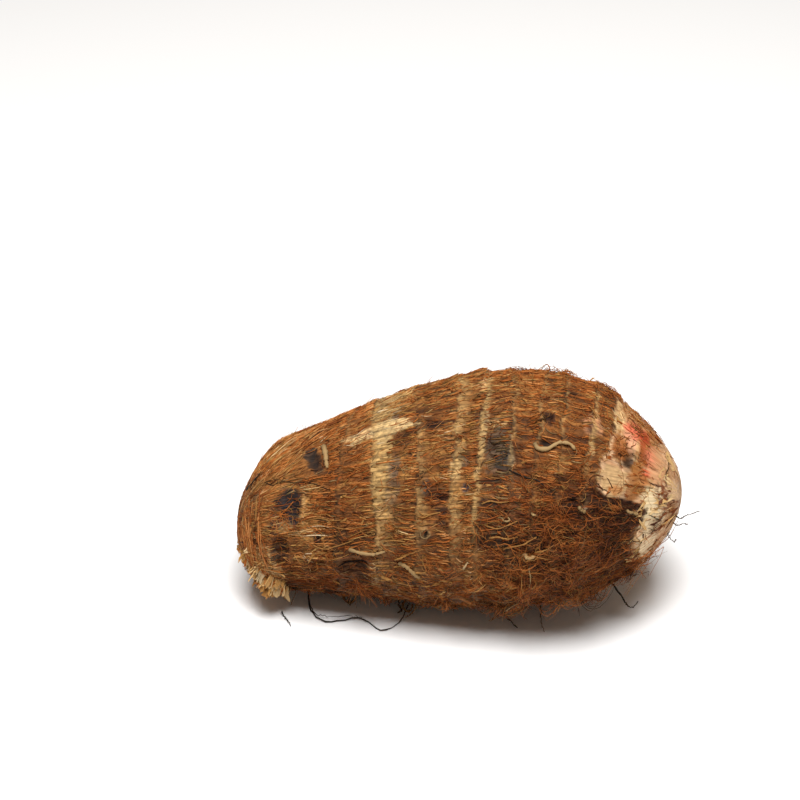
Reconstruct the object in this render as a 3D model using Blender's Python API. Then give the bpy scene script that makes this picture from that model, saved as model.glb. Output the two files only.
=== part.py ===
"""Taro root: one small corm of the eddoe kind, lying on its side, as one solid.

The corm is a barrel that is fattest towards its bud. It is built in the order in which it
grew: its outline is turned round the long axis, the turned skin is pushed into the grown
shape (leaf-scar rings, lumps, scars, bud collar, bend), the side buds are joined on, and
the underside is flattened where the corm bears on the table.

Units: lengths along and across the corm are in millimetres until the mesh is finished,
when it is scaled to metres. +Z is up and +X runs from the torn heel to the bud. "Along"
is the distance from the heel. "Round" is the angle round the long axis, in degrees: 0 is
the top, 90 the front (-Y), 180 the underside and 270 the back.
"""

import math

import bmesh
import bpy
from mathutils import Matrix, Vector, noise

MM = 0.001

# Driving sizes of the corm, in mm.
LENGTH = 105.0
GIRTH = 55.6
FLAT_DEPTH = 1.0

# The barrel: (share of the length from the heel, share of half the girth).
BARREL = (
    (0.00, 0.53),
    (0.15, 0.70),
    (0.37, 0.90),
    (0.62, 1.00),
    (0.80, 0.88),
    (0.89, 0.665),
    (1.00, 0.50),
)
HEEL_ROUNDING = 0.085
BUD_ROUNDING = 0.13

# The long axis is bent: the heel droops and comes forward, the bud lifts and goes back.
FATTEST = 0.62
HEEL_DROOP = 10.6
HEEL_FORWARD = 9.0
HEEL_BEND_POWER = 1.3
BUD_LIFT = 1.6
BUD_BACK = 0.6

# Leaf scars: each ring is the free edge of an old leaf base, a ramp that ends in a step.
RINGS_ALONG = (16.0, 25.5, 36.0, 44.5, 53.5, 58.5, 66.0, 71.0, 76.5, 83.5)
RING_LIP = 0.55
RING_RAMP = 3.2
RING_STEP = 1.0
RING_SLANT = 1.6

# The bud's own leaf bases stand out in two broader steps.
BUD_STEPS_ALONG = (88.5, 95.5)
BUD_LIP = 0.9

# Scars: (along, round, width along, width round, depth), all but round in mm.
SCARS = (
    (13.5, 55.0, 6.5, 10.0, 1.3),
    (12.5, 88.0, 4.0, 9.0, 1.0),
    (18.5, 22.0, 4.0, 5.0, 0.9),
    (63.0, 37.0, 6.5, 8.0, 0.5),
    (40.0, 250.0, 6.0, 7.0, 0.9),
    (74.0, 305.0, 5.0, 6.0, 0.8),
)

# The place where the corm was torn off its parent: a shallow dish at the heel, facing
# down and out, with a raised rim.
TORN_DIRECTION = Vector((-0.76, -0.28, -0.59))
TORN_RADIUS = 8.0
TORN_DEPTH = 1.4
TORN_RIM = 0.8

# Side buds: (along, round, diameter). Each is a dome that stands on a ring.
SIDE_BUDS = (
    (48.0, 75.0, 4.4),
    (73.0, 18.0, 5.4),
    (83.5, 20.0, 4.6),
    (53.5, 318.0, 5.0),
    (71.0, 262.0, 5.6),
    (36.0, 215.0, 4.6),
)
SIDE_BUD_RISE = 0.22

LUMP_SIZE = 24.0
LUMP_HEIGHT = 1.1
OVALITY = 0.02

SEGMENTS_ROUND = 56
WIDEST_GAP = 3.6
NARROWEST_GAP = 0.7
CAP_ROWS = 6


def clear_scene():
    for thing in list(bpy.data.objects):
        bpy.data.objects.remove(thing, do_unlink=True)


def smooth_step(low, high, value):
    share = min(max((value - low) / (high - low), 0.0), 1.0)
    return share * share * (3.0 - 2.0 * share)


def read_through(points, at):
    """The height at `at` of a smooth curve through (place, height) points."""
    last = len(points) - 2
    k = max(i for i in range(last + 1) if i == 0 or points[i][0] <= at)
    (x1, y1), (x2, y2) = points[k], points[k + 1]
    x0, y0 = points[max(k - 1, 0)]
    x3, y3 = points[min(k + 2, last + 1)]
    slope1 = (y2 - y0) / (x2 - x0)
    slope2 = (y3 - y1) / (x3 - x1)
    span = x2 - x1
    s = min(max((at - x1) / span, 0.0), 1.0)
    return (
        y1 * (2 * s**3 - 3 * s**2 + 1)
        + y2 * (3 * s**2 - 2 * s**3)
        + span * slope1 * (s**3 - 2 * s**2 + s)
        + span * slope2 * (s**3 - s**2)
    )


def outline_radius(along):
    """The smooth barrel's radius, closed at each end by an elliptical cap."""
    share = along / LENGTH
    radius = 0.5 * GIRTH * read_through(BARREL, share)
    inwards = max(1.0 - share / HEEL_ROUNDING, (share - 1.0) / BUD_ROUNDING + 1.0, 0.0)
    return radius * math.sqrt(max(1.0 - inwards * inwards, 0.0))


def rows_along():
    """Where the turned outline has its points: close at the rings and at both caps."""
    heel_cap, bud_cap = HEEL_ROUNDING * LENGTH, BUD_ROUNDING * LENGTH
    rows = [0.0, LENGTH]
    for step in range(1, CAP_ROWS + 1):
        turn = 0.5 * math.pi * step / CAP_ROWS
        rows.append(heel_cap * (1.0 - math.cos(turn)))
        rows.append(LENGTH - bud_cap * (1.0 - math.cos(turn)))
    for ring in RINGS_ALONG + BUD_STEPS_ALONG:
        rows += [ring - RING_RAMP, ring, ring + RING_STEP]
    kept = []
    for row in sorted(rows):
        if not kept or row - kept[-1] > NARROWEST_GAP or row == LENGTH:
            kept.append(row)
    filled = kept[:1]
    for row in kept[1:]:
        parts = math.ceil((row - filled[-1]) / WIDEST_GAP)
        start = filled[-1]
        filled += [start + (row - start) * n / parts for n in range(1, parts + 1)]
    return filled


def turned_barrel():
    """The outline, turned round the X axis into a closed skin."""
    bm = bmesh.new()
    points = [bm.verts.new((row, 0.0, outline_radius(row))) for row in rows_along()]
    edges = [bm.edges.new(pair) for pair in zip(points, points[1:])]
    bmesh.ops.spin(
        bm,
        geom=points + edges,
        cent=(0.0, 0.0, 0.0),
        axis=(1.0, 0.0, 0.0),
        angle=2.0 * math.pi,
        steps=SEGMENTS_ROUND,
        use_merge=True,
    )
    bmesh.ops.remove_doubles(bm, verts=bm.verts, dist=0.001)
    bmesh.ops.recalc_face_normals(bm, faces=bm.faces)
    return bm


def lip(along, ring, height):
    """A leaf scar's profile: a slow ramp up to the ring and a short step down past it."""
    if along <= ring:
        return height * smooth_step(ring - RING_RAMP, ring, along)
    return height * (1.0 - smooth_step(ring, ring + RING_STEP, along))


def ring_relief(along):
    relief = sum(lip(along, ring, RING_LIP) for ring in RINGS_ALONG)
    return relief + sum(lip(along, ring, BUD_LIP) for ring in BUD_STEPS_ALONG)


def scar_relief(along, angle, radius):
    """The shallow dishes that fallen side shoots left."""
    relief = 0.0
    for at, turn, long_way, round_way, depth in SCARS:
        away = (angle - math.radians(turn) + math.pi) % (2.0 * math.pi) - math.pi
        square = (2.0 * (along - at) / long_way) ** 2 + (2.0 * away * radius / round_way) ** 2
        relief -= depth * math.exp(-square)
    return relief


def long_axis(along):
    """How far the bent long axis stands off the straight one, across (Y) and up (Z)."""
    share = along / LENGTH
    towards_heel = max(1.0 - share / FATTEST, 0.0) ** HEEL_BEND_POWER
    towards_bud = max((share - FATTEST) / (1.0 - FATTEST), 0.0)
    return Vector(
        (
            0.0,
            BUD_BACK * towards_bud - HEEL_FORWARD * towards_heel,
            BUD_LIFT * towards_bud - HEEL_DROOP * towards_heel,
        )
    )


def on_skin(along, angle, extra=0.0):
    """The point of the grown skin at this place, raised by `extra`."""
    radius = outline_radius(along)
    outwards = Vector((0.0, -math.sin(angle), math.cos(angle)))
    where = Vector((along, 0.0, 0.0)) + radius * outwards
    fullness = min(radius / (0.25 * GIRTH), 1.0)
    lump = LUMP_HEIGHT * fullness * noise.noise(where / LUMP_SIZE)
    oval = OVALITY * radius * math.cos(2.0 * angle + 0.9)
    relief = fullness * (ring_relief(along) + scar_relief(along, angle, radius))
    slant = RING_SLANT * fullness * noise.noise(where / (2.0 * LUMP_SIZE) + Vector((0.0, 7.0, 3.0)))
    raised = where + (lump + oval + relief + extra) * outwards
    return raised + Vector((slant, 0.0, 0.0)) + long_axis(along)


def press_torn_dish(bm):
    """Presses in the scar at the heel and lifts its rim."""
    facing = TORN_DIRECTION.normalized()
    heel_middle = Vector((HEEL_ROUNDING * LENGTH, 0.0, 0.0)) + long_axis(HEEL_ROUNDING * LENGTH)
    for vert in bm.verts:
        from_middle = vert.co - heel_middle
        if from_middle.dot(facing) <= 0.0:
            continue
        off_axis = (from_middle - from_middle.dot(facing) * facing).length / TORN_RADIUS
        dish = -TORN_DEPTH * (1.0 - smooth_step(0.55, 0.95, off_axis))
        rim = TORN_RIM * math.exp(-(((off_axis - 1.05) / 0.22) ** 2))
        vert.co += (dish + rim) * facing


def grow(bm):
    """Pushes the turned skin into the grown shape."""
    for vert in bm.verts:
        angle = math.atan2(-vert.co.y, vert.co.z)
        vert.co = on_skin(vert.co.x, angle)
    press_torn_dish(bm)


def flatten_underside(bm):
    """Cuts the lowest millimetre off level, which leaves one flat face to bear on."""
    level = min(vert.co.z for vert in bm.verts) + FLAT_DEPTH
    bmesh.ops.bisect_plane(
        bm,
        geom=list(bm.verts) + list(bm.edges) + list(bm.faces),
        plane_co=(0.0, 0.0, level),
        plane_no=(0.0, 0.0, -1.0),
        clear_outer=True,
    )
    bmesh.ops.holes_fill(bm, edges=[edge for edge in bm.edges if edge.is_boundary])
    bmesh.ops.recalc_face_normals(bm, faces=bm.faces)


def add_object(name, bm):
    mesh = bpy.data.meshes.new(name)
    bm.to_mesh(mesh)
    bm.free()
    thing = bpy.data.objects.new(name, mesh)
    bpy.context.scene.collection.objects.link(thing)
    return thing


def side_bud_domes():
    """The domes of the side buds, as one helper that the corm is joined with."""
    bm = bmesh.new()
    for along, turn, diameter in SIDE_BUDS:
        angle = math.radians(turn)
        sunk = (SIDE_BUD_RISE - 0.5) * diameter
        middle = on_skin(along, angle, sunk)
        lean = Matrix.Rotation(angle, 4, "X")
        bmesh.ops.create_uvsphere(
            bm,
            u_segments=14,
            v_segments=9,
            radius=0.5 * diameter,
            matrix=Matrix.Translation(middle) @ lean,
        )
    domes = add_object("side_bud_domes", bm)
    domes.hide_render = True
    domes.display_type = "WIRE"
    return domes


def skin_material():
    """Dry brown corm skin: matt, with no metal in it."""
    material = bpy.data.materials.new("corm_skin")
    material.use_nodes = True
    surface = material.node_tree.nodes["Principled BSDF"]
    surface.inputs["Base Color"].default_value = (0.194, 0.078, 0.027, 1.0)
    surface.inputs["Roughness"].default_value = 0.85
    surface.inputs["Metallic"].default_value = 0.0
    return material


def to_metres(thing):
    thing.data.transform(Matrix.Scale(MM, 4))


def stand_at_origin(thing):
    """Puts the middle of the underside of the corm's box on the frame's origin."""
    corners = [vert.co for vert in thing.data.vertices]
    low = [min(corner[axis] for corner in corners) for axis in range(3)]
    high = [max(corner[axis] for corner in corners) for axis in range(3)]
    thing.location = (-0.5 * (low[0] + high[0]), -0.5 * (low[1] + high[1]), -low[2])


def build_corm():
    bm = turned_barrel()
    grow(bm)
    flatten_underside(bm)
    corm = add_object("corm", bm)
    domes = side_bud_domes()
    to_metres(corm)
    to_metres(domes)
    stand_at_origin(corm)
    domes.location = corm.location
    join = corm.modifiers.new("side_buds", "BOOLEAN")
    join.operation = "UNION"
    join.solver = "EXACT"
    join.object = domes
    corm.data.materials.append(skin_material())
    corm.data.shade_smooth()
    corm.data.set_sharp_from_angle(angle=math.radians(40.0))


clear_scene()
build_corm()
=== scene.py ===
import math

import bmesh
import bpy
import numpy as np
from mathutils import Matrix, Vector, noise


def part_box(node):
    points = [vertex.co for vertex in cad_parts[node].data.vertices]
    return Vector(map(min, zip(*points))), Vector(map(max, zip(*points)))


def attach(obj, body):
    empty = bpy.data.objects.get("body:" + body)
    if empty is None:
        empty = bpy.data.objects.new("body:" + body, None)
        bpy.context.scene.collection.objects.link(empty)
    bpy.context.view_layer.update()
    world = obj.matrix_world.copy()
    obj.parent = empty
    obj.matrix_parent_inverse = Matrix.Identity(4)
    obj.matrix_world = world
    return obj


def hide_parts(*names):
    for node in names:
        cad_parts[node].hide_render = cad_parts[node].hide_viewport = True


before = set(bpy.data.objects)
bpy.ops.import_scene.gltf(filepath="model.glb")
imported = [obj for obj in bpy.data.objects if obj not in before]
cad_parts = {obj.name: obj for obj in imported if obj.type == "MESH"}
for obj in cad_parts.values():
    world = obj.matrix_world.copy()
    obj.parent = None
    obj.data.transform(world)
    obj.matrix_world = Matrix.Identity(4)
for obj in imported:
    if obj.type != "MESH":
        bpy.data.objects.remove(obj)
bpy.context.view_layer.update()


# ---- Camera -------------------------------------------------------------------------
# A long lens looks down on the table from in front, turned a little towards the bud.
# The corm lies low and right of the middle of the view, so the aim is behind it.

MM = 0.001
CAMERA_TURN = math.radians(10.0)
CAMERA_TILT = math.radians(35.0)
CAMERA_LENS = 100.0
CAMERA_DISTANCE = 613.0 * MM
CAMERA_AIM = Vector((-27.8, 72.2, 0.0)) * MM


def add_camera():
    lens = bpy.data.cameras.new("camera")
    lens.lens = CAMERA_LENS
    lens.clip_start = 10.0 * MM
    camera = bpy.data.objects.new("camera", lens)
    bpy.context.scene.collection.objects.link(camera)
    back = Vector((
        math.sin(CAMERA_TURN) * math.cos(CAMERA_TILT),
        -math.cos(CAMERA_TURN) * math.cos(CAMERA_TILT),
        math.sin(CAMERA_TILT),
    ))
    camera.location = CAMERA_AIM + CAMERA_DISTANCE * back
    camera.rotation_euler = back.to_track_quat("Z", "Y").to_euler()
    bpy.context.scene.camera = camera


add_camera()


# ---- Floor and light ----------------------------------------------------------------
# A white paper sweep under a large soft box, which hangs overhead and a little to the
# left. The room's warm walls fill the shadows a little.

corm_low, corm_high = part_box("corm")
FLOOR_SIZE = 4.0
PAPER_WHITE = "#f4f4f4"
PAPER_GRAIN, PAPER_TOOTH = 1.5 * MM, 0.1 * MM
ROOM_CREAM = "#fff0de"
ROOM_LIGHT = 0.19
SOFT_BOX_SIZE = 0.42
SOFT_BOX_POWER = 11.0
SOFT_BOX_PLACE = Vector((0.03, -0.18, 0.84))


def linear(hex_colour):
    """An sRGB hex value as linear red, green, blue and alpha."""
    parts = [int(hex_colour[k : k + 2], 16) / 255.0 for k in (1, 3, 5)]
    bent = [c / 12.92 if c <= 0.04045 else ((c + 0.055) / 1.055) ** 2.4 for c in parts]
    return (*bent, 1.0)


def add_node(tree, kind, settings=None, **links):
    """Adds a node with its settings and its input links. A setting is an attribute, or an
    input by name or number; a link is an input by name, or by number as in _0."""
    made = tree.nodes.new(kind)
    for name, value in (settings or {}).items():
        if isinstance(name, str) and hasattr(made, name):
            setattr(made, name, value)
        else:
            made.inputs[name].default_value = value
    for name, source in links.items():
        number = name[1:]
        tree.links.new(source, made.inputs[int(number) if number.isdigit() else name])
    return made


def new_material(name):
    """A material with its shader, ready for its own nodes."""
    material = bpy.data.materials.new(name)
    material.use_nodes = True
    return material, material.node_tree, material.node_tree.nodes["Principled BSDF"]


def add_piece(name, mesh):
    """Puts a mesh in the scene as a piece of that name, at the origin."""
    piece = bpy.data.objects.new(name, mesh)
    bpy.context.scene.collection.objects.link(piece)
    return piece


def add_floor():
    bm = bmesh.new()
    bmesh.ops.create_grid(bm, x_segments=8, y_segments=8, size=0.5 * FLOOR_SIZE)
    bmesh.ops.translate(bm, verts=bm.verts, vec=(0.0, 0.0, corm_low.z))
    mesh = bpy.data.meshes.new("floor")
    bm.to_mesh(mesh)
    bm.free()
    # White paper, which looks flat and even, with a faint tooth.
    material, tree, paper = new_material("white_paper")
    place = add_node(tree, "ShaderNodeTexCoord").outputs["Object"]
    tooth = add_node(tree, "ShaderNodeTexNoise", {"Scale": 1.0 / PAPER_GRAIN}, Vector=place)
    faint = {"Strength": 0.02, "Distance": PAPER_TOOTH}
    bump = add_node(tree, "ShaderNodeBump", faint, Height=tooth.outputs[0])
    tree.links.new(bump.outputs["Normal"], paper.inputs["Normal"])
    paper.inputs["Base Color"].default_value = linear(PAPER_WHITE)
    paper.inputs["Roughness"].default_value = 0.9
    mesh.materials.append(material)
    add_piece("floor", mesh)


def add_soft_light(name, size, power, place):
    panel = bpy.data.lights.new(name, "AREA")
    panel.size = size
    panel.energy = power
    lamp = bpy.data.objects.new(name, panel)
    lamp.location = place
    lamp.rotation_euler = place.to_track_quat("Z", "Y").to_euler()
    bpy.context.scene.collection.objects.link(lamp)


def add_room():
    world = bpy.data.worlds.new("room")
    world.use_nodes = True
    room = world.node_tree.nodes["Background"]
    room.inputs["Color"].default_value = linear(ROOM_CREAM)
    room.inputs["Strength"].default_value = ROOM_LIGHT
    bpy.context.scene.world = world


add_floor()
add_room()
add_soft_light("soft_box", SOFT_BOX_SIZE, SOFT_BOX_POWER, SOFT_BOX_PLACE)
bpy.context.scene.view_settings.view_transform = "Standard"


# ---- Skin ---------------------------------------------------------------------------
# The corm's own surface: dry, corky skin over starchy flesh. Each leaf that fell left a
# ring round it, where a pale band of skin shows past the ragged edge of the old leaf base.

# A place on the skin is "along", in mm from the heel, and "turn" or "round", which goes
# round the long axis from 0 at the top through 90 degrees at the front.
LENGTH = 105.0
GIRTH = 55.6
# The outline: how thick the corm is, as a share of its girth, at each share of its length.
BARREL = (
    (0, 0.53), (0.15, 0.7), (0.37, 0.9), (0.62, 1), (0.8, 0.88), (0.89, 0.665), (1, 0.5)
)
HEEL_ROUNDING, BUD_ROUNDING = 0.085, 0.13
FATTEST, BEND_POWER = 0.62, 1.3
HEEL_DROOP, HEEL_FORWARD = 10.6, 9.0
BUD_LIFT, BUD_BACK = 1.6, 0.6
LUMP_SIZE, LUMP_HEIGHT = 24.0, 1.1
OVALITY, OVAL_TURN = 0.02, 0.9

# Rings: where the ragged edge runs, as (round, along) points; its height; the width of the
# pale band past it; how pale that is; and the turns between which it shows best.
RINGS = (
    (((-30, 25), (30, 25.5), (120, 26.5), (210, 25.5)), 0.1, 1.2, 0.2, -40, 10),
    (((-30, 30), (-10, 31), (20, 32.8), (40, 33.6), (56, 35.2), (85, 36.2), (120, 38), (210, 34)),
      0.32, 4.4, 0.52, -30, 80),
    (((-20, 39.6), (0, 41), (20, 43.2), (36, 44.6), (60, 45.2), (85, 45.6), (130, 46), (220, 42)),
      0.24, 2, 0.4, 24, 76),
    (((-20, 50.2), (0, 51.4), (20, 52.2), (40, 52.2), (60, 53.1), (85, 53.6), (140, 53), (240, 51)),
      0.3, 2.5, 0.58, -22, 82),
    (((-30, 55.8), (-15, 56.6), (5, 58), (36, 58.2), (60, 58.4), (90, 58.9), (150, 58.5),
      (250, 57)), 0.34, 1.3, 0.85, -35, 72),
    (((-20, 62.6), (0, 64.4), (20, 65.2), (42, 65.8), (90, 66), (180, 65.5), (270, 64)),
      0.28, 0.9, 0.4, -25, 42),
    (((-20, 70.6), (20, 71.2), (90, 71.4), (200, 71)), 0.28, 0.9, 0.45, -25, 22),
    (((-20, 75.4), (10, 76), (30, 76.8), (120, 77), (220, 76)), 0.28, 1, 0.4, -12, 22),
    (((-20, 82.8), (15, 83.4), (35, 83), (130, 83.4), (230, 83)), 0.32, 1.3, 0.65, -8, 34),
    (((-30, 88.5), (-3, 87.6), (8, 88.2), (28, 87.8), (33, 86.3), (50, 86), (54, 88), (57, 93.6),
      (61, 96.4), (67, 97.3), (76, 96.7), (84, 95.2), (100, 94.6), (112, 95.6), (125, 96.6),
      (150, 95), (180, 91), (250, 89)), 0.55, 1.4, 0.85, -30, 34),
)

# Hollows that fallen side shoots and bruises left:
# (along, round, length, width, depth, rim), in mm but for round, which is in degrees.
HOLLOWS = (
    (14.2, 56, 7, 9.4, 1.1, 0.5),
    (15.6, 55, 3, 6, 0.5, 0),
    (13.2, 88, 4.4, 10, 1, 0.4),
    (18.2, 17, 2.8, 3.6, 0.8, 0.1),
    (19.3, 22.5, 2.8, 3.6, 0.8, 0.1),
    (20.4, 28, 2.8, 3.6, 0.8, 0.1),
    (31, 97, 7, 6, 0.7, 0.3),
    (22, 100, 5, 5, 0.6, 0.3),
    (63, 37, 6.5, 8, 0.5, 0.1),
    (40, 250, 6, 7, 0.8, 0.3),
    (74, 305, 5, 6, 0.8, 0.3),
    (48.2, 75.5, 0.9, 1.3, 0.9, 0.4),
    (22.5, 78.5, 1.1, 1.5, 0.9, 0.3),
    (73.3, 17, 2.6, 2.6, 1, 0.4),
    (73.8, 29.5, 3.4, 1.6, 0.9, 0),
    (81, 58.5, 2.2, 1.6, 0.8, 0.2),
    (92, 28, 2.6, 3.4, 0.7, 0.2),
    (56.3, 53.5, 1.6, 2, 0.4, 0.2),
    (51.6, 57.5, 3, 1.7, 0.35, 0),
    (51.8, 64.5, 3, 1.9, 0.4, 0),
)

# Side buds: (along, round, diameter), each a low dome with a dimple.
SIDE_BUDS = (
    (48, 75, 4.4),
    (73, 18, 5.4),
    (83.5, 18, 4.6),
    (53.5, 318, 5),
    (71, 262, 5.6),
    (36, 215, 4.6),
)

TORN_FACING = np.array((-0.76, -0.28, -0.59)) / np.linalg.norm((-0.76, -0.28, -0.59))
TORN_RADIUS, TORN_DEPTH, TORN_RIM, TORN_RIM_WIDTH = 8.0, 1.4, 0.8, 0.22
HOLLOW_RIM_PLACE, HOLLOW_RIM_WIDTH = 1.15, 0.3
BUD_DOME, BUD_DIMPLE, BUD_DIMPLE_WIDTH = 0.22, 0.10, 0.3

# The corky grain is read as on a drum of this radius, which narrows below END_RADIUS.
GRAIN_GIRTH = 25.0
END_RADIUS = 13.0
GRAIN_STRETCH, RIDGES_PER_MM, WIDE_RIDGES_PER_MM = 0.12, 0.9, 0.42
# Each ring's raggedness: (height in mm, how fine) of its wander, its bites and its teeth.
RAGGEDNESS = ((0.6, 2.4), (0.7, 9.0), (0.7, 34.0))
EDGE_STEPS = 1800
# The old leaf base thickens over RAMP_LENGTH up to its edge, and drops to a notch there.
RAMP_LENGTH, NOTCH_DEPTH, NOTCH_WIDTH = 3.2, 0.22, 0.3
RIB_BEADS, RIB_PLACE, RIB_WIDTH = 96, 0.7, 0.5
SKIN_ROWS, SKIN_SEGMENTS = 300, 262


def noise_at(places):
    """Smooth noise from -1 to 1 at each row of an array of places."""
    return np.array([noise.noise(place) for place in places.tolist()])


def smooth_step(low, high, value):
    """0 below `low`, 1 above `high`, and a soft slope between them."""
    share = np.clip((value - low) / (high - low), 0.0, 1.0)
    return share * share * (3.0 - 2.0 * share)


def smooth_through(points, at):
    """Heights at `at` of a smooth curve through (place, height) points."""
    xs, ys = np.array(points).T
    slopes = np.empty_like(ys)
    slopes[1:-1] = (ys[2:] - ys[:-2]) / (xs[2:] - xs[:-2])
    slopes[0] = (ys[1] - ys[0]) / (xs[1] - xs[0])
    slopes[-1] = (ys[-1] - ys[-2]) / (xs[-1] - xs[-2])
    k = np.clip(np.searchsorted(xs, at, side="right") - 1, 0, len(xs) - 2)
    span = xs[k + 1] - xs[k]
    s = np.clip((at - xs[k]) / span, 0.0, 1.0)
    return (
        ys[k] * (2 * s**3 - 3 * s**2 + 1)
        + ys[k + 1] * (3 * s**2 - 2 * s**3)
        + span * slopes[k] * (s**3 - 2 * s**2 + s)
        + span * slopes[k + 1] * (s**3 - s**2)
    )


def barrel_radius(along):
    """The corm's radius at each place along it, rounded off at both ends."""
    share = np.clip(along / LENGTH, 0.0, 1.0)
    inwards = np.maximum(1.0 - share / HEEL_ROUNDING, (share - 1.0) / BUD_ROUNDING + 1.0)
    cap = np.sqrt(np.maximum(1.0 - np.maximum(inwards, 0.0) ** 2, 0.0))
    return 0.5 * GIRTH * smooth_through(BARREL, share) * cap


def long_axis(along):
    """How far the bent long axis stands off the straight one."""
    share = along / LENGTH
    to_heel = np.maximum(1.0 - share / FATTEST, 0.0) ** BEND_POWER
    to_bud = np.maximum((share - FATTEST) / (1.0 - FATTEST), 0.0)
    across = BUD_BACK * to_bud - HEEL_FORWARD * to_heel
    up = BUD_LIFT * to_bud - HEEL_DROOP * to_heel
    return np.stack([np.zeros_like(share), across, up], axis=1)


def round_way(turn):
    """The direction straight out from the long axis."""
    return np.stack([np.zeros_like(turn), -np.sin(turn), np.cos(turn)], axis=1)


def off_place(along, turn, at, at_round):
    """How far each point is from a place on the skin, along and round, in mm."""
    away = (turn - math.radians(at_round) + math.pi) % (2.0 * math.pi) - math.pi
    return along - at, away * np.maximum(barrel_radius(along), 4.0)


def ragged_edges():
    """Where each ring's ragged edge runs along the corm, at equal steps round it."""
    turn = np.linspace(0.0, 2.0 * math.pi, EDGE_STEPS + 1)
    c, s = np.cos(turn), np.sin(turn)
    rows = []
    for k, ring in enumerate(RINGS):
        rounds, alongs = np.array(ring[0], float).T
        row = np.interp(turn, np.radians(rounds), alongs, period=2.0 * math.pi)
        for level, (height, fineness) in enumerate(RAGGEDNESS):
            which = np.full_like(turn, 5.1 * k + 2.0 * level)
            row = row + height * noise_at(np.stack([fineness * c, fineness * s, which], axis=1))
        rows.append(row)
    return turn, np.array(rows)


EDGE_TURNS, EDGE_ROWS = ragged_edges()


def ring_edge(k, turn):
    """How far along the corm ring k's ragged edge is, at each turn."""
    return np.interp(turn % (2.0 * math.pi), EDGE_TURNS, EDGE_ROWS[k])


def past_rings(along, turn):
    """For each point: mm past the last ragged edge, mm before the next, and which is last."""
    before_heel, past_tip = np.full_like(along, -3.0), np.full_like(along, LENGTH + 25.0)
    rings = [ring_edge(k, turn) for k in range(len(RINGS))]
    edges = np.stack([before_heel, *rings, past_tip], axis=1)
    last = np.clip((along[:, None] >= edges).sum(axis=1) - 1, 0, len(RINGS))
    rows = np.arange(len(along))
    return along - edges[rows, last], edges[rows, last + 1] - along, last - 1


def grain_place(along, turn, stretch=1.0):
    """Where the grain's noise is read. A small stretch draws it out lengthwise. Towards the
    two ends the grain narrows with the corm, so that it doesn't run together there."""
    girth = GRAIN_GIRTH * np.minimum(barrel_radius(along) / END_RADIUS, 1.0)
    return np.stack([stretch * along, girth * np.sin(turn), girth * np.cos(turn)], axis=1)


def grain_noise(along, turn, size, apart=0.0, stretch=1.0):
    """Noise in spots of `size` mm over the skin; `apart` sets one such noise off another."""
    return noise_at(grain_place(along, turn, stretch) / size + apart)


def ring_relief(along, turn):
    """The thickened edge of each old leaf base, and the beaded rib just past it."""
    past, before, last = past_rings(along, turn)
    heights = np.array([0.0] + [ring[1] for ring in RINGS] + [0.0])
    ramp = heights[last + 2] * (1.0 - smooth_step(0.0, RAMP_LENGTH, before))
    beads = 0.5 + 0.5 * np.sin(RIB_BEADS * turn + 2.0 * np.sin(7.0 * turn))
    broken = smooth_step(-0.3, 0.4, grain_noise(along, turn, 3.0, 21.0))
    rib = (0.10 + 0.20 * beads) * broken * np.exp(-(((past - RIB_PLACE) / RIB_WIDTH) ** 2))
    return ramp + rib - NOTCH_DEPTH * np.exp(-((past / NOTCH_WIDTH) ** 2))


def hollow_relief(along, turn):
    """The hollows with their rims, and the side buds."""
    relief = np.zeros_like(along)
    for at, at_round, length, width, depth, rim in HOLLOWS:
        a, r = off_place(along, turn, at, at_round)
        off = np.sqrt((2.0 * a / length) ** 2 + (2.0 * r / width) ** 2)
        relief += rim * np.exp(-(((off - HOLLOW_RIM_PLACE) / HOLLOW_RIM_WIDTH) ** 2))
        relief -= depth * np.exp(-(off**4))
    for at, at_round, size in SIDE_BUDS:
        a, r = off_place(along, turn, at, at_round)
        off = np.hypot(a, r) / (0.5 * size)
        relief += BUD_DOME * size * np.exp(-(off**3))
        relief -= BUD_DIMPLE * size * np.exp(-((off / BUD_DIMPLE_WIDTH) ** 2))
    return relief


def bareness(along, turn):
    """1 on the smooth bud, 0 on the corky body."""
    return smooth_step(-0.3, 0.6, along - ring_edge(len(RINGS) - 1, turn))


def grown(along, turn, lift=0.0, fine=True):
    """Points of the skin, in mm in the corm's own frame, raised by `lift`."""
    radius = barrel_radius(along)
    out = round_way(turn)
    where = np.stack([along, -radius * np.sin(turn), radius * np.cos(turn)], axis=1)
    fullness = np.minimum(radius / (0.25 * GIRTH), 1.0)
    lump = LUMP_HEIGHT * fullness * noise_at(where / LUMP_SIZE)
    oval = OVALITY * radius * np.cos(2.0 * turn + OVAL_TURN)
    relief = 0.0
    if fine:
        grain = grain_place(along, turn, GRAIN_STRETCH)
        corky = 1.0 - bareness(along, turn)
        ridges = 0.16 * noise_at(grain * RIDGES_PER_MM)
        ridges = ridges + 0.14 * noise_at(grain * WIDE_RIDGES_PER_MM + 9.0)
        pimples = 0.14 * noise_at(where / 1.5) + 0.30 * noise_at(where / 3.8)
        pimples = pimples + 0.30 * noise_at(where / 8.0 + 3.0)
        relief = ring_relief(along, turn) + hollow_relief(along, turn) + corky * (ridges + pimples)
    raised = where + (lump + oval + fullness * relief + lift)[:, None] * out
    raised += long_axis(along)
    return press_torn_dish(raised)


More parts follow.
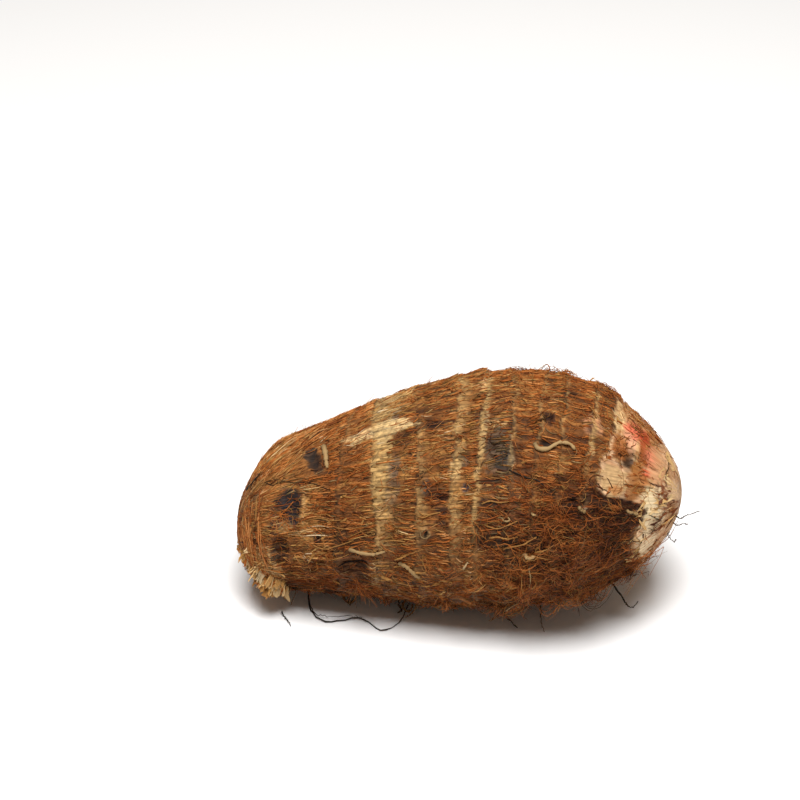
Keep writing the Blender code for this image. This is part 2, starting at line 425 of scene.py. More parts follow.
def press_torn_dish(points):
    """Presses in the scar at the heel and lifts its rim."""
    at = np.array([HEEL_ROUNDING * LENGTH])
    middle = np.array((at[0], 0.0, 0.0)) + long_axis(at)[0]
    from_middle = points - middle
    height = from_middle @ TORN_FACING
    off = np.linalg.norm(from_middle - height[:, None] * TORN_FACING, axis=1) / TORN_RADIUS
    dish = -TORN_DEPTH * (1.0 - smooth_step(0.55, 0.95, off))
    rim = TORN_RIM * np.exp(-(((off - 1.05) / TORN_RIM_WIDTH) ** 2))
    return points + (np.where(height > 0.0, dish + rim, 0.0))[:, None] * TORN_FACING


def corm_place():
    """How far the corm's own frame is moved to lie where its solid does."""
    along, turn = np.meshgrid(np.linspace(0.0, LENGTH, 200), np.linspace(0.0, 2.0 * math.pi, 120))
    plain = grown(along.ravel(), turn.ravel(), fine=False)
    low, high = np.array(corm_low) / MM, np.array(corm_high) / MM
    middle = 0.5 * (low + high) - 0.5 * (plain.min(axis=0) + plain.max(axis=0))
    return np.array((middle[0], middle[1], high[2] - plain[:, 2].max()))


PLACE = corm_place()


def on_corm(along, turn, lift=0.0):
    """Points on the skin, or `lift` mm off it, in metres in the shared frame."""
    points = (grown(along, turn, lift) + PLACE) * MM
    points[:, 2] = np.maximum(points[:, 2], corm_low.z)
    return points


# What the skin's colour is, from place to place, before the fine grain is added:
# (along, round, length, width, colour, strength). Lengths and widths are in mm.
# The underside colour is painted shade: the skin is painted darker underneath.
SKIN_BROWN, SKIN_PAINTED_UNDERSHADE = "#7e4c20", "#5c3617"
SKIN_DARK, SKIN_WORN = "#3f220d", "#b07f42"
SKIN_STAINS = (
    # the heel, with its fibres worn golden
    (6, 64, 16, 60, "#9a5d2a", 0.7),
    (11, 8, 18, 26, "#a8713a", 0.7),
    (20, -8, 34, 26, "#925c2c", 0.6),
    (7, 112, 14, 18, "#c29c68", 0.8),
    (20.5, 66, 6, 18, "#ae7c41", 0.7),
    (31, 96, 11, 9, "#33200f", 0.7),
    # light worn tops
    (35, -14, 9, 20, "#a8844f", 0.8),
    (36, 34, 4.5, 26, "#b8955c", 0.7),
    (37.6, 74, 4, 12, "#bb8e56", 0.7),
    (35.5, 13.5, 15.6, 4.2, "#d8b680", 0.95),
    (29, 17, 2.6, 3, "#d2af78", 0.95),
    (35.5, 18.5, 4.5, 4.6, "#cfae79", 0.85),
    (57.2, -15, 2.2, 12, "#cda974", 0.8),
    (50.8, -16, 1.8, 10, "#b08750", 0.6),
    (59.2, 26, 1.4, 13, "#caa873", 0.7),
    (61.8, 22, 5, 2.2, "#c39a66", 0.75),
    (53.6, 44, 2.8, 4.4, "#cfab74", 0.8),
    (54.4, 70, 2.6, 14, "#ab7741", 0.6),
    (46.9, 68, 2.8, 9, "#a07a48", 0.5),
    (66.2, 41, 1.6, 3.4, "#b3936a", 0.7),
    # the dark mat on the lower right, and the darker lower front
    (89, 66, 20, 13, "#2a1a10", 0.9),
    (82, 95, 34, 38, "#43240f", 0.8),
    (45, 96, 50, 26, "#754a26", 0.6),
    (66, 66, 12, 18, "#6a4326", 0.6),
    (36.5, 103, 4, 9, "#b48a5c", 0.8),
    (74.5, 79, 3.8, 5, "#1d1411", 0.85),
    (74.8, 95, 2.8, 3.2, "#1d1411", 0.85),
    (90.6, 88, 2.8, 4, "#1d1411", 0.85),
    (64.5, 80, 11, 5, "#241a13", 0.7),
    (38, 110, 34, 12, "#4c2e16", 0.5),
    (28, 79, 12, 7, "#4b2f17", 0.6),
    # grey bruises
    (62.7, 35, 6.4, 12, "#544839", 0.7),
    (64.6, 41, 4.2, 5.2, "#37332e", 0.75),
    (61, 42, 2.4, 4, "#7d5a38", 0.6),
    (61.2, 31, 2.4, 3.4, "#4a3a2c", 0.7),
    (14, 56, 7.6, 10.8, "#25252a", 0.92),
    (11.8, 58, 2.8, 4.4, "#6f4c30", 0.7),
    (14, 69, 3.4, 2.6, "#a07c4e", 0.8),
    (18.2, 58, 1.4, 9, "#bb905a", 0.75),
    (10.6, 70, 2.4, 4.4, "#2e1c12", 0.8),
    (12.8, 88, 4.2, 9, "#3c271c", 0.88),
    (13.8, 86, 1.4, 4, "#1b1310", 0.85),
    (1, 0, 5, 90, "#6d4726", 0.5),
    (18, 16.5, 2.6, 3.8, "#2c2825", 0.85),
    (19.3, 22.5, 3.2, 4.4, "#211b18", 0.88),
    (20.8, 29, 2.6, 3.8, "#2a201a", 0.8),
    (37.5, 5, 2.6, 3, "#5c5148", 0.6),
    (39, 38, 3, 5, "#5c5148", 0.6),
    (39.2, 52, 3.4, 8, "#645241", 0.6),
    (43, 31, 2, 3, "#3c2b20", 0.7),
    (47, 51, 2, 3.5, "#4c453f", 0.7),
    (47.6, 18, 3.6, 3.2, "#2e1a0e", 0.85),
    (47.5, -8, 4, 6, "#3b2110", 0.6),
    (55.7, 41.5, 1.8, 2, "#463b34", 0.7),
    (56.6, 53.5, 2.2, 1.8, "#40444a", 0.85),
    (58, 20, 4, 6, "#5a4633", 0.4),
    (65.2, 22, 1.4, 3, "#2b1a10", 0.8),
    (63.2, -8, 2.6, 3, "#2f1a0e", 0.7),
    # hollows before the pale rings, dark with painted shade
    (51.2, 57.5, 3.6, 1.8, "#33221a", 0.8),
    (51.4, 64.5, 3.6, 2, "#33221a", 0.8),
    (51.2, 71, 3, 1.6, "#33221a", 0.7),
    (62, 51, 5, 1.8, "#2c211a", 0.7),
    (62.5, 61, 6, 2, "#241b16", 0.8),
    # holes and scars of side shoots; the holes' near-black insides are painted shade
    (48.2, 75.5, 2.4, 2.6, "#a48255", 0.7),
    (48.2, 75.5, 1.3, 1.6, "#1f130c", 0.95),
    (22.3, 77.5, 2.2, 2.6, "#1f130c", 0.9),
    (73.5, 17.5, 3.2, 3.6, "#33190d", 0.9),
    (83.4, 14, 4.4, 7, "#b67f58", 0.8),
    (83.2, 17, 1.8, 2, "#5a3d2c", 0.85),
    (83.8, 30, 1.8, 3, "#c09664", 0.8),
    (85.3, 1, 1.8, 2.4, "#3a1d0f", 0.7),
    (73.6, 30, 3.6, 1.7, "#1c120b", 0.9),
    (81, 58.5, 2.6, 2, "#150d08", 0.85),
    (83.2, 63, 1.8, 1.6, "#c2a180", 0.7),
    (94.6, 67, 3.2, 2.2, "#a98b76", 0.8),
    (88.9, 43.8, 5.6, 7.8, "#b99465", 0.95),
    (90, 50.5, 3.4, 1.8, "#b5733a", 0.7),
)
# The near-black just past each ragged edge is a painted shadow under the old leaf base's rim.
RIB_COLOUR, EDGE_PAINTED_SHADOW = "#b8935c", "#22130a"
# The bud's colour underneath is painted shade.
BUD_CREAM, BUD_PAINTED_SHADE, BUD_SPOT, BUD_FIBRE = "#dcb288", "#bf8f60", "#a67a4c", "#96592b"
# The bud: cream scales, flushed pink near the top. The last number is how soft it fades.
BUD_STAINS = (
    (94, -20, 12, 24, "#a5703a", 0.75, 0.4),
    (89, 2, 3.6, 7, "#d3b07c", 0.9, 0.3),
    (88.6, -20, 1.2, 14, "#cfa873", 0.8, 0.3),
    (90.9, 20, 5, 9, "#95591f", 0.85, 0.3),
    (92.4, 12, 3.6, 7, "#e0a884", 0.88, 0.5),
    (93.6, 2, 5.4, 5.4, "#d4664a", 0.9, 0.5),
    (95.2, 3, 2.6, 5, "#9e3518", 0.9, 0.5),
    (95.8, 16, 3.2, 7, "#a5502a", 0.85, 0.5),
    (95.4, 25, 3.4, 6, "#86461c", 0.8, 0.4),
    (97.4, 20, 2.8, 6, "#dc7f60", 0.78, 0.6),
    (94, 23, 0.8, 10, "#cda370", 0.8, 0.3),
    (92.2, 30.4, 4.6, 5.4, "#2c1a10", 0.95, 0.5),
    (94.8, 38, 3.6, 7, "#9a622c", 0.8, 0.4),
    (96.6, 38.5, 2.4, 4.4, "#c4472c", 0.9, 0.5),
    (99.4, 30, 4.2, 15, "#c08a5f", 0.68, 0.4),
    (103.6, 30, 3, 6, "#94602f", 0.7, 0.6),
    (102.6, 44, 4.4, 14, "#a67548", 0.75, 0.5),
    (102.8, 150, 4, 8, "#a3743f", 0.7, 0.6),
    (103, 260, 4, 10, "#8c5a2c", 0.7, 0.6),
    (96.6, 46, 5, 5, "#a06f3d", 0.8, 0.3),
    (100.8, 49, 3, 6, "#84431c", 0.85, 0.4),
    (99.6, 42, 3.6, 0.9, "#4a2913", 0.8, 0.2),
    (101.3, 22, 0.5, 18, "#7c542c", 0.7, 0.3),
    (98.2, 62, 3.6, 9, "#dcc493", 0.9, 0.3),
    (102.6, 68, 1.6, 9, "#9a6a3c", 0.7, 0.5),
    (91.4, 70, 8, 6, "#2c1b11", 0.95, 0.2),
    (94.8, 88, 1.8, 9, "#8b5a2c", 0.8, 0.3),
    (97.8, 90.5, 1.8, 1.6, "#4a2812", 0.85, 0.3),
    (95.4, 103, 2.2, 4, "#a5855a", 0.7, 0.3),
    (92, 100, 6, 30, "#3d2311", 0.9, 0.3),
    (92, 250, 8, 40, "#7d5332", 0.7, 0.5),
    (97, 290, 7, 14, "#bd6f50", 0.6, 0.8),
    (95, 330, 5, 9, "#8f5424", 0.7, 0.5),
    (99, 200, 6, 12, "#8f5a2c", 0.6, 0.5),
    (90.2, 23, 3, 6.6, "#9c5f30", 0.85, 0.3),
    (93.9, 45, 3, 8.4, "#9a6232", 0.8, 0.3),
    (101, 52, 3.8, 8, "#7c4220", 0.9, 0.5),
    (98.6, 76, 5.2, 13, "#e3cba2", 0.92, 0.3),
    (103, 40, 3.4, 5, "#dab48a", 0.75, 0.4),
    (97.6, 99, 4.4, 10, "#e4caa2", 0.85, 0.3),
    (103.2, 92, 1.6, 7, "#a57c4e", 0.6, 0.4),
    (89.4, 43.8, 5.8, 7.4, "#bf9a6b", 0.97, 0.15),
    (90, 50.6, 3, 1.6, "#b5733a", 0.7, 0.2),
)


# How many degrees a pale band takes to fade out at each end.
BAND_FADE = 14.0


def mottle(along, turn):
    """Patchy light and dark from about -1 to 1, in spots of a few millimetres."""
    spots = grain_noise(along, turn, 2.8, 5.0, 0.6)
    streaks = grain_noise(along, turn, 1.1, 8.0, 0.22)
    return spots + streaks + 0.7 * grain_noise(along, turn, 9.0, 2.0)


def patch(along, turn, at, at_round, length, width, fray=0.0, soft=0.15):
    """1 inside an oval on the skin and 0 outside it, with a frayed or soft edge."""
    a, r = off_place(along, turn, at, at_round)
    off = np.sqrt((2.0 * a / length) ** 2 + (2.0 * r / width) ** 2) + fray
    return 1.0 - smooth_step(1.0 - soft, 1.0 + soft, off)


def mixed(base, colour, share):
    """The base colours moved towards one colour by each place's share."""
    return base + (np.array(linear(colour)[:3]) - base) * np.clip(share, 0.0, 1.0)[:, None]


def band_paleness(along, turn):
    """How strongly the pale band past each ragged edge shows."""
    past, _, last = past_rings(along, turn)
    pale = np.zeros_like(along)
    degrees = (np.degrees(turn) + 180.0) % 360.0 - 180.0
    breaks = grain_noise(along, turn, 2.2, 11.0, 0.3)
    for k, (_, _, width, paleness, start, end) in enumerate(RINGS):
        shows = smooth_step(start - BAND_FADE, start, degrees)
        shows = shows * (1.0 - smooth_step(end, end + BAND_FADE, degrees))
        patchy = 0.15 + 0.7 * grain_noise(np.full_like(along, 40.0 * k), turn, 8.0)
        strength = paleness * np.maximum(shows, np.clip(patchy, 0.0, 0.7))
        strength = strength * (0.9 + 1.1 * np.minimum(breaks, 0.2))
        worn = smooth_step(0.45 * width, 1.5 * width, past + 0.6 * breaks)
        here = (last == k) * smooth_step(0.0, 0.3, past) * (1.0 - worn)
        pale = np.maximum(pale, strength * here)
    return pale


def underside(turn, blur=0.0):
    """0 on the upper side and 1 underneath, where darker colour is painted as shade."""
    return smooth_step(-0.35, 0.75, -np.cos(turn) + blur)


def skin_colours(along, turn):
    """The colour at each place, and how bare of cork it is."""
    spotty = mottle(along, turn)
    fray = 0.30 * grain_noise(along, turn, 1.25, 0.0, 0.1) + 0.35 * grain_noise(along, turn, 1.6)
    # Painted shade: the skin is painted darker underneath, and its worn paleness is weaker there.
    under = underside(turn, 0.1 * fray)
    colour = mixed(np.array(linear(SKIN_BROWN)[:3]), SKIN_PAINTED_UNDERSHADE, under)
    colour = mixed(colour, SKIN_DARK, 0.8 * smooth_step(0.05, 0.8, -spotty))
    colour = mixed(colour, SKIN_WORN, 0.6 * smooth_step(0.2, 0.9, spotty) * (1.0 - 0.6 * under))
    for *oval, stain, strength in SKIN_STAINS:
        colour = mixed(colour, stain, strength * patch(along, turn, *oval, fray))
    pale = band_paleness(along, turn)
    # Painted shadow just past each ragged edge, except where the band is pale.
    past, _, _ = past_rings(along, turn)
    edge_shadow = np.exp(-((past / 0.28) ** 2))
    colour = mixed(colour, EDGE_PAINTED_SHADOW, 0.75 * edge_shadow * (1.0 - pale))
    colour = mixed(colour, RIB_COLOUR, np.minimum(pale * 1.1, 0.9))
    # Painted shade: the bud is painted darker underneath.
    bud = mixed(np.array(linear(BUD_CREAM)[:3]), BUD_PAINTED_SHADE, 0.8 * under)
    bud = mixed(bud, BUD_SPOT, 0.5 * smooth_step(0.1, 0.8, -spotty))
    veins = smooth_step(0.12, 0.40, grain_noise(along, turn, 1.1, 17.0, 0.25))
    bud = mixed(bud, BUD_FIBRE, 0.55 * veins)
    torn = 1.3 * fray + 0.30 * grain_noise(along, turn, 0.8, 30.0, 0.4)
    for *oval, stain, strength, soft in BUD_STAINS:
        bud = mixed(bud, stain, strength * patch(along, turn, *oval, torn, soft))
    bare = bareness(along, turn)
    return colour + (bud - colour) * bare[:, None], bare


def set_values(mesh, name, kind, values):
    """Stores one value for each vertex under a name that a material can read."""
    layer = mesh.attributes.new(name, kind, "POINT")
    field = {"FLOAT": "value", "FLOAT_VECTOR": "vector", "FLOAT_COLOR": "color"}[kind]
    layer.data.foreach_set(field, np.ascontiguousarray(values, dtype=np.float32).ravel())


def paint(mesh, along, turn):
    """Gives a skin mesh its colours, its grain and how bare it is."""
    colour, bare = skin_colours(along, turn)
    opaque = np.ones((len(colour), 1))
    set_values(mesh, "tint", "FLOAT_COLOR", np.concatenate([colour, opaque], axis=1))
    set_values(mesh, "grain", "FLOAT_VECTOR", grain_place(along, turn))
    set_values(mesh, "bare", "FLOAT", bare)


def even_rows(count):
    """Places along the corm that are evenly spaced over the curved outline."""
    along = np.linspace(0.0, LENGTH, 4000)
    steps = np.hypot(np.diff(along), np.diff(barrel_radius(along)))
    walked = np.concatenate([[0.0], np.cumsum(steps)])
    return np.interp(np.linspace(0.0, walked[-1], count), walked, along)


def grid_mesh(name, columns, rows, count=1):
    """Flat grids with their own map, and each vertex's column and row in its grid."""
    bm = bmesh.new()
    bm.loops.layers.uv.new("OFBake")
    for _ in range(count):
        bmesh.ops.create_grid(bm, x_segments=columns, y_segments=rows, size=0.5, calc_uvs=True)
    mesh = bpy.data.meshes.new(name)
    bm.to_mesh(mesh)
    bm.free()
    flat = np.empty(len(mesh.vertices) * 3, np.float32)
    mesh.vertices.foreach_get("co", flat)
    flat = flat.reshape(-1, 3)
    column = np.rint((flat[:, 0] + 0.5) * columns).astype(int)
    row = np.rint((flat[:, 1] + 0.5) * rows).astype(int)
    return mesh, column, row


def weld(mesh, reach):
    """Merges doubled vertices, turns the faces outward and shades them smooth."""
    bm = bmesh.new()
    bm.from_mesh(mesh)
    bmesh.ops.remove_doubles(bm, verts=bm.verts, dist=reach)
    bmesh.ops.recalc_face_normals(bm, faces=bm.faces)
    for face in bm.faces:
        face.smooth = True
    bm.to_mesh(mesh)
    bm.free()


def build_skin():
    mesh, column, row = grid_mesh("skin", SKIN_ROWS, SKIN_SEGMENTS)
    along = even_rows(SKIN_ROWS + 1)[column]
    turn = 2.0 * math.pi * (row % SKIN_SEGMENTS) / SKIN_SEGMENTS
    turn[(column == 0) | (column == SKIN_ROWS)] = 0.0
    mesh.vertices.foreach_set("co", on_corm(along, turn).astype(np.float32).ravel())
    paint(mesh, along, turn)
    weld(mesh, 0.002 * MM)
    return mesh


# The grain attribute is in millimetres, so these are real sizes: streaks about 0.6 mm wide
# and nine times as long, flecks of about 0.9 mm, and a cork that is 0.3 mm rough.
STREAKS_PER_MM, STREAK_STRETCH = 1.7, 0.11
FLECKS_PER_MM = 1.1
SKIN_ROUGHNESS = 0.3 * MM


def skin_material():
    # Dry corky skin, which looks matt and streaked lengthwise, with dark specks in it.
    material, tree, skin = new_material("corky_skin")
    tint = add_node(tree, "ShaderNodeAttribute", {"attribute_name": "tint"})
    grain = add_node(tree, "ShaderNodeAttribute", {"attribute_name": "grain"})
    bare = add_node(tree, "ShaderNodeAttribute", {"attribute_name": "bare"})
    drawn_out = {"Scale": (STREAK_STRETCH, 1.0, 1.0)}
    stretch = add_node(tree, "ShaderNodeMapping", drawn_out, Vector=grain.outputs["Vector"])
    fine = {"Scale": STREAKS_PER_MM, "Detail": 4.0}
    streak = add_node(tree, "ShaderNodeTexNoise", fine, Vector=stretch.outputs["Vector"])
    fine = {"Scale": FLECKS_PER_MM, "Detail": 5.0}
    fleck = add_node(tree, "ShaderNodeTexNoise", fine, Vector=grain.outputs["Vector"])
    contrast = {"From Min": 0.32, "From Max": 0.68, "To Min": 0.4, "To Max": 1.4}
    light = add_node(tree, "ShaderNodeMapRange", contrast, Value=streak.outputs[0])
    contrast = {"From Min": 0.3, "From Max": 0.6, "To Min": 0.5, "To Max": 1.1}
    speck = add_node(tree, "ShaderNodeMapRange", contrast, Value=fleck.outputs[0])
    product = {"operation": "MULTIPLY"}
    both = add_node(tree, "ShaderNodeMath", product, _0=light.outputs[0], _1=speck.outputs[0])
    # The bare bud is calmer: its streaks are mixed with an even tone.
    product = {"operation": "MULTIPLY", 1: 0.65}
    calm = add_node(tree, "ShaderNodeMath", product, _0=bare.outputs["Fac"])
    even = {"data_type": "FLOAT", 3: 0.95}
    toned = add_node(tree, "ShaderNodeMix", even, _0=calm.outputs[0], _2=both.outputs[0])
    scaled = {"operation": "SCALE"}
    painted = add_node(
        tree, "ShaderNodeVectorMath", scaled, _0=tint.outputs["Color"], _3=toned.outputs[0]
    )
    tree.links.new(painted.outputs[0], skin.inputs["Base Color"])
    rough = {"Strength": 0.7, "Distance": SKIN_ROUGHNESS}
    bump = add_node(tree, "ShaderNodeBump", rough, Height=both.outputs[0])
    tree.links.new(bump.outputs["Normal"], skin.inputs["Normal"])
    skin.inputs["Roughness"].default_value = 0.8
    skin.inputs["Specular IOR Level"].default_value = 0.25
    return material


def add_skin():
    mesh = build_skin()
    mesh.materials.append(skin_material())
    skin = add_piece("corm_skin", mesh)
    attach(skin, "root")
    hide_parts("corm")


add_skin()


# ---- Leaf-base fibres -----------------------------------------------------------------
# The leaf bases rot away and leave their fibres, which lie lengthwise over the skin from
# one ring to the next. They are thin dry strands, golden where worn and brown elsewhere.

SEED = 4
TONE_PLACES = (0.0, 0.15, 0.30, 0.45, 0.60, 0.75, 0.88, 1.0)
# Three kinds of strand, each from its darkest tone to its lightest.
STRAND_KINDS = (
    ("#0f0704", "#2b1408", "#592b10", "#8e4a1a", "#b0682e", "#c98b50", "#d8ae80", "#e8cfa8"),
    ("#130e08", "#2e1f0e", "#573918", "#875c2c", "#aa7b40", "#c39a60", "#d5b482", "#e6d4b0"),
    ("#0e0b08", "#281e14", "#483723", "#6c5536", "#8c7049", "#a6885c", "#bba480", "#d0bd9a"),
)
RUST, KHAKI, GREY = range(3)
# Strands underneath are painted darker, as painted shade.
BASE_TONE, UNDERSIDE_PAINTED_SHADE, BASE_AMOUNT = 0.47, 0.14, 0.9
# How light the strands are from place to place, and how many there are:
# (along, round, length, width, tone, amount).
FIBRE_ZONES = (
    (18, -5, 36, 52, 0.55, 1),
    (10, 8, 18, 20, 0.69, 1),
    (4, 50, 14, 60, 0.62, 1),
    (35, -10, 12, 22, 0.64, 0.8),
    (35.5, 13.5, 14.6, 4, 0.86, 0.22),
    (29, 17, 2.4, 2.6, 0.84, 0.22),
    (35.5, 18.5, 4, 4, 0.82, 0.25),
    (48, 30, 18, 60, 0.53, 0.8),
    (72, -8, 30, 46, 0.5, 0.9),
    (46, 6, 3, 7, 0.68, 0.7),
    (49.5, 22, 3, 6, 0.66, 0.7),
    (55.5, -6, 3, 6, 0.66, 0.7),
    (60.5, 6, 3, 8, 0.64, 0.7),
    (45, 95, 50, 26, 0.57, 0.9),
    (62, 102, 56, 22, 0.58, 0.9),
    (20, 64, 6, 18, 0.66, 1),
    (19, 95, 10, 14, 0.6, 1),
    (9, 106, 9, 10, 0.72, 0.9),
    (31, 97, 10, 8, 0.28, 0.7),
    (66, 66, 12, 18, 0.53, 0.9),
    (36.5, 103, 4, 9, 0.72, 0.8),
    (74.5, 79, 3.6, 4.8, 0.1, 0.5),
    (74.8, 95, 2.6, 3, 0.1, 0.5),
    (90.6, 88, 2.6, 3.8, 0.1, 0.5),
    (64.5, 80, 10, 5, 0.22, 0.8),
    (80, 88, 36, 36, 0.36, 0.8),
    (89, 66, 18, 13, 0.2, 0.8),
    (88.9, 43.8, 5.4, 7.6, 0.72, 0.04),
    (14.4, 55.6, 5.4, 8, 0.36, 0.14),
    (13, 88, 3.6, 8, 0.36, 0.15),
    (18.2, 17, 2.6, 4, 0.3, 0.06),
    (19.3, 22.5, 2.8, 4, 0.3, 0.06),
    (20.4, 28.5, 2.8, 4, 0.3, 0.06),
    (62.5, 36, 6.5, 11, 0.42, 0.85),
    (64.6, 41, 4, 4.6, 0.3, 0.65),
    (47.6, 18, 3.2, 2.8, 0.22, 0.3),
    (73.5, 17.5, 2.6, 3, 0.3, 0),
    (73.6, 30, 3.6, 2.4, 0.3, 0),
    (83.3, 16, 4, 5, 0.55, 0.12),
    (48.2, 75.5, 2.6, 2.8, 0.7, 0),
    # darker strands in the hollows before the pale rings: painted shade
    (51.2, 57.5, 3.4, 1.7, 0.2, 0.5),
    (51.4, 64.5, 3.4, 1.9, 0.2, 0.5),
    (51.2, 71, 3, 1.6, 0.22, 0.5),
    (62, 51, 4.6, 1.4, 0.3, 0.6),
    (62.5, 61, 5.4, 1.5, 0.28, 0.6),
    (22.3, 77.5, 2, 2.4, 0.8, 0),
    (39.2, 45, 2.6, 18, 0.46, 0.45),
)
# Where khaki strands are common: (along, round, length, width, share)
KHAKI_ZONES = (
    (35, -10, 12, 22, 0.85),
    (37, 40, 9, 50, 0.65),
    (10, 5, 18, 22, 0.35),
    (50, 20, 26, 50, 0.4),
    (22, -10, 14, 40, 0.06),
    (80, 85, 44, 46, 0.05),
    (6, 70, 16, 50, 0.35),
)
# Where grey strands are common: (along, round, length, width, share)
GREY_ZONES = (
    (62.8, 37, 7, 14, 0.6),
    (64.5, 78, 10, 8, 0.4),
    (64, 60, 9, 10, 0.3),
    (39.5, 45, 3, 18, 0.5),
    (14.4, 57, 7, 14, 0.4),
)
# Which way the fibres lean off the long axis, in degrees: (along, round, length, width, lean)
LEANS = (
    (10, 4, 18, 20, -42),
    (33, -6, 14, 20, -22),
    (26, 66, 14, 8, 8),
    (26, 84, 14, 10, -16),
    (64, 84, 12, 10, -18),
    (64, 62, 10, 10, 8),
)


# The bud's own fibres: (along, round, length, width, tone, amount)
BUD_FIBRE_ZONES = (
    (93.6, -16, 9, 18, 0.5, 0.8),
    (90.8, 21, 4.2, 7, 0.46, 0.9),
    (95.6, 27, 3.4, 7, 0.4, 1),
    (94.6, 40, 3, 4, 0.46, 0.7),
    (97, 48, 5, 4, 0.48, 0.9),
    (101.2, 54, 2.6, 5, 0.4, 0.7),
    (102.6, 72, 1.8, 7, 0.42, 0.3),
    (94.6, 92, 1.8, 8, 0.44, 0.5),
    (97.5, 118, 6, 10, 0.42, 0.8),
    (98.6, 74, 5, 16, 0.6, 0.02),
    (92.2, 30.4, 4.2, 5, 0.18, 0.6),
    (89.2, 43.8, 6, 7.6, 0.6, 0),
    (96, 200, 10, 50, 0.42, 0.5),
)
BUD_FIBRE_COUNT, BUD_FIBRE_STEPS, BUD_FIBRE_LIFT = 480, 4, 0.40
BUD_FIBRE_LENGTHS, BUD_FIBRE_RADII = (0.6, 2.4), (0.045, 0.12)
BUD_SPAN = (86.5, 104.0)
# The width in mm that stands for no pale band, before the first ring.
NO_BAND = 1e-6
# Where fibres start along the body; how far a fibre bows sideways, as a share of its
# length, how high its middle arches and how much its tip lifts, in mm; and its taper.
BODY_SPAN = (-1.0, 97.0)
FIBRE_BOW, FIBRE_ARCH, FIBRE_TIP_LIFT, FIBRE_TAPER = 0.05, 0.16, 0.12, 0.7
# How much the odd fibre is darker or lighter than its neighbours, and how often it is.
ODD_TONE, DARK_SHARE, LIGHT_SHARE = 0.16, 0.16, 0.08
# No strand is laid as if the corm were thinner than this radius, in mm.
LEAST_RADIUS = 6.0
# The coats of fibres over the body, longest first: name, how many, steps, lengths and radii
# in mm, and how far they stray from the lean, in radians.
FIBRE_COATS = (
    ("sheath_fibres", 3900, 5, (2.5, 9), (0.06, 0.19), 0.1),
    ("sheath_felt", 11800, 3, (0.9, 3.6), (0.045, 0.12), 0.4),
)


def blend_zones(zones, along, turn, values, soft, roughness, rng):
    """Moves each value towards the one that a zone states for it, in each zone in turn. The
    zones' edges fade over `soft`, and `roughness` scatters them from strand to strand."""
    for *oval, first, second in zones:
        fray = roughness * rng.standard_normal(len(along))
        share = patch(along, turn, *oval, fray, soft)
        values = [value + (aim - value) * share for value, aim in zip(values, (first, second))]
    return values


def blend_shares(zones, along, turn, value):
    """Moves a share towards the one that a zone states for it, in each zone in turn."""
    for *oval, aim in zones:
        value = value + (aim - value) * patch(along, turn, *oval, soft=0.4)
    return value


def fibre_lean(along, turn):
    """How far the fibres lean off the long axis at each place, in radians."""
    lean = 0.40 * grain_noise(along, turn, 5.0, 14.0, 0.7)
    for *oval, degrees in LEANS:
        share = 0.8 * patch(along, turn, *oval, soft=0.5)
        lean = lean + (math.radians(degrees) - lean) * share
    return lean


def fibre_field(along, turn, rng):
    """The strands' tone and how likely one is, at each place."""
    # Painted shade: the strands start darker underneath.
    start = (BASE_TONE - UNDERSIDE_PAINTED_SHADE * underside(turn), np.full_like(along, BASE_AMOUNT))
    tone, amount = blend_zones(FIBRE_ZONES, along, turn, start, 0.15, 0.2, rng)
    return tone + 0.13 * mottle(along, turn), amount


def strand_material(name):
    # Dry plant strands: each has its own kind and tone, a matt face and a darker root. The
    # map's u is the tone; each third of its v is one kind, from root to tip.
    material, tree, strand = new_material(name)
    spread = add_node(tree, "ShaderNodeUVMap", {"uv_map": "OFBake"})
    parts = add_node(tree, "ShaderNodeSeparateXYZ", Vector=spread.outputs["UV"])
    times = {"operation": "MULTIPLY", 1: len(STRAND_KINDS)}
    thirds = add_node(tree, "ShaderNodeMath", times, _0=parts.outputs["Y"])
    colour = None
    for kind, tones in enumerate(STRAND_KINDS):
        ramp = add_node(tree, "ShaderNodeValToRGB", _0=parts.outputs["X"])
        stops = ramp.color_ramp.elements
        for place in TONE_PLACES[1:-1]:
            stops.new(place)
        for stop, place, tone in zip(stops, TONE_PLACES, tones):
            stop.position = place
            stop.color = linear(tone)
        if colour is None:
            colour = ramp.outputs["Color"]
            continue
        beyond = {"operation": "GREATER_THAN", 1: kind}
        past = add_node(tree, "ShaderNodeMath", beyond, _0=thirds.outputs[0])
        choice = {"data_type": "RGBA"}
        mix = add_node(
            tree, "ShaderNodeMix", choice, _0=past.outputs[0], _6=colour, _7=ramp.outputs["Color"]
        )
        colour = mix.outputs[2]
    from_root = add_node(tree, "ShaderNodeMath", {"operation": "FRACT"}, _0=thirds.outputs[0])
    root_shade = {"From Max": 0.25, "To Min": 0.6, "To Max": 1.0}
    darker = add_node(tree, "ShaderNodeMapRange", root_shade, Value=from_root.outputs[0])
    scaled = {"operation": "SCALE"}
    shaded = add_node(tree, "ShaderNodeVectorMath", scaled, _0=colour, _3=darker.outputs[0])
    tree.links.new(shaded.outputs[0], strand.inputs["Base Color"])
    strand.inputs["Roughness"].default_value = 0.65
    strand.inputs["Specular IOR Level"].default_value = 0.18
    return material


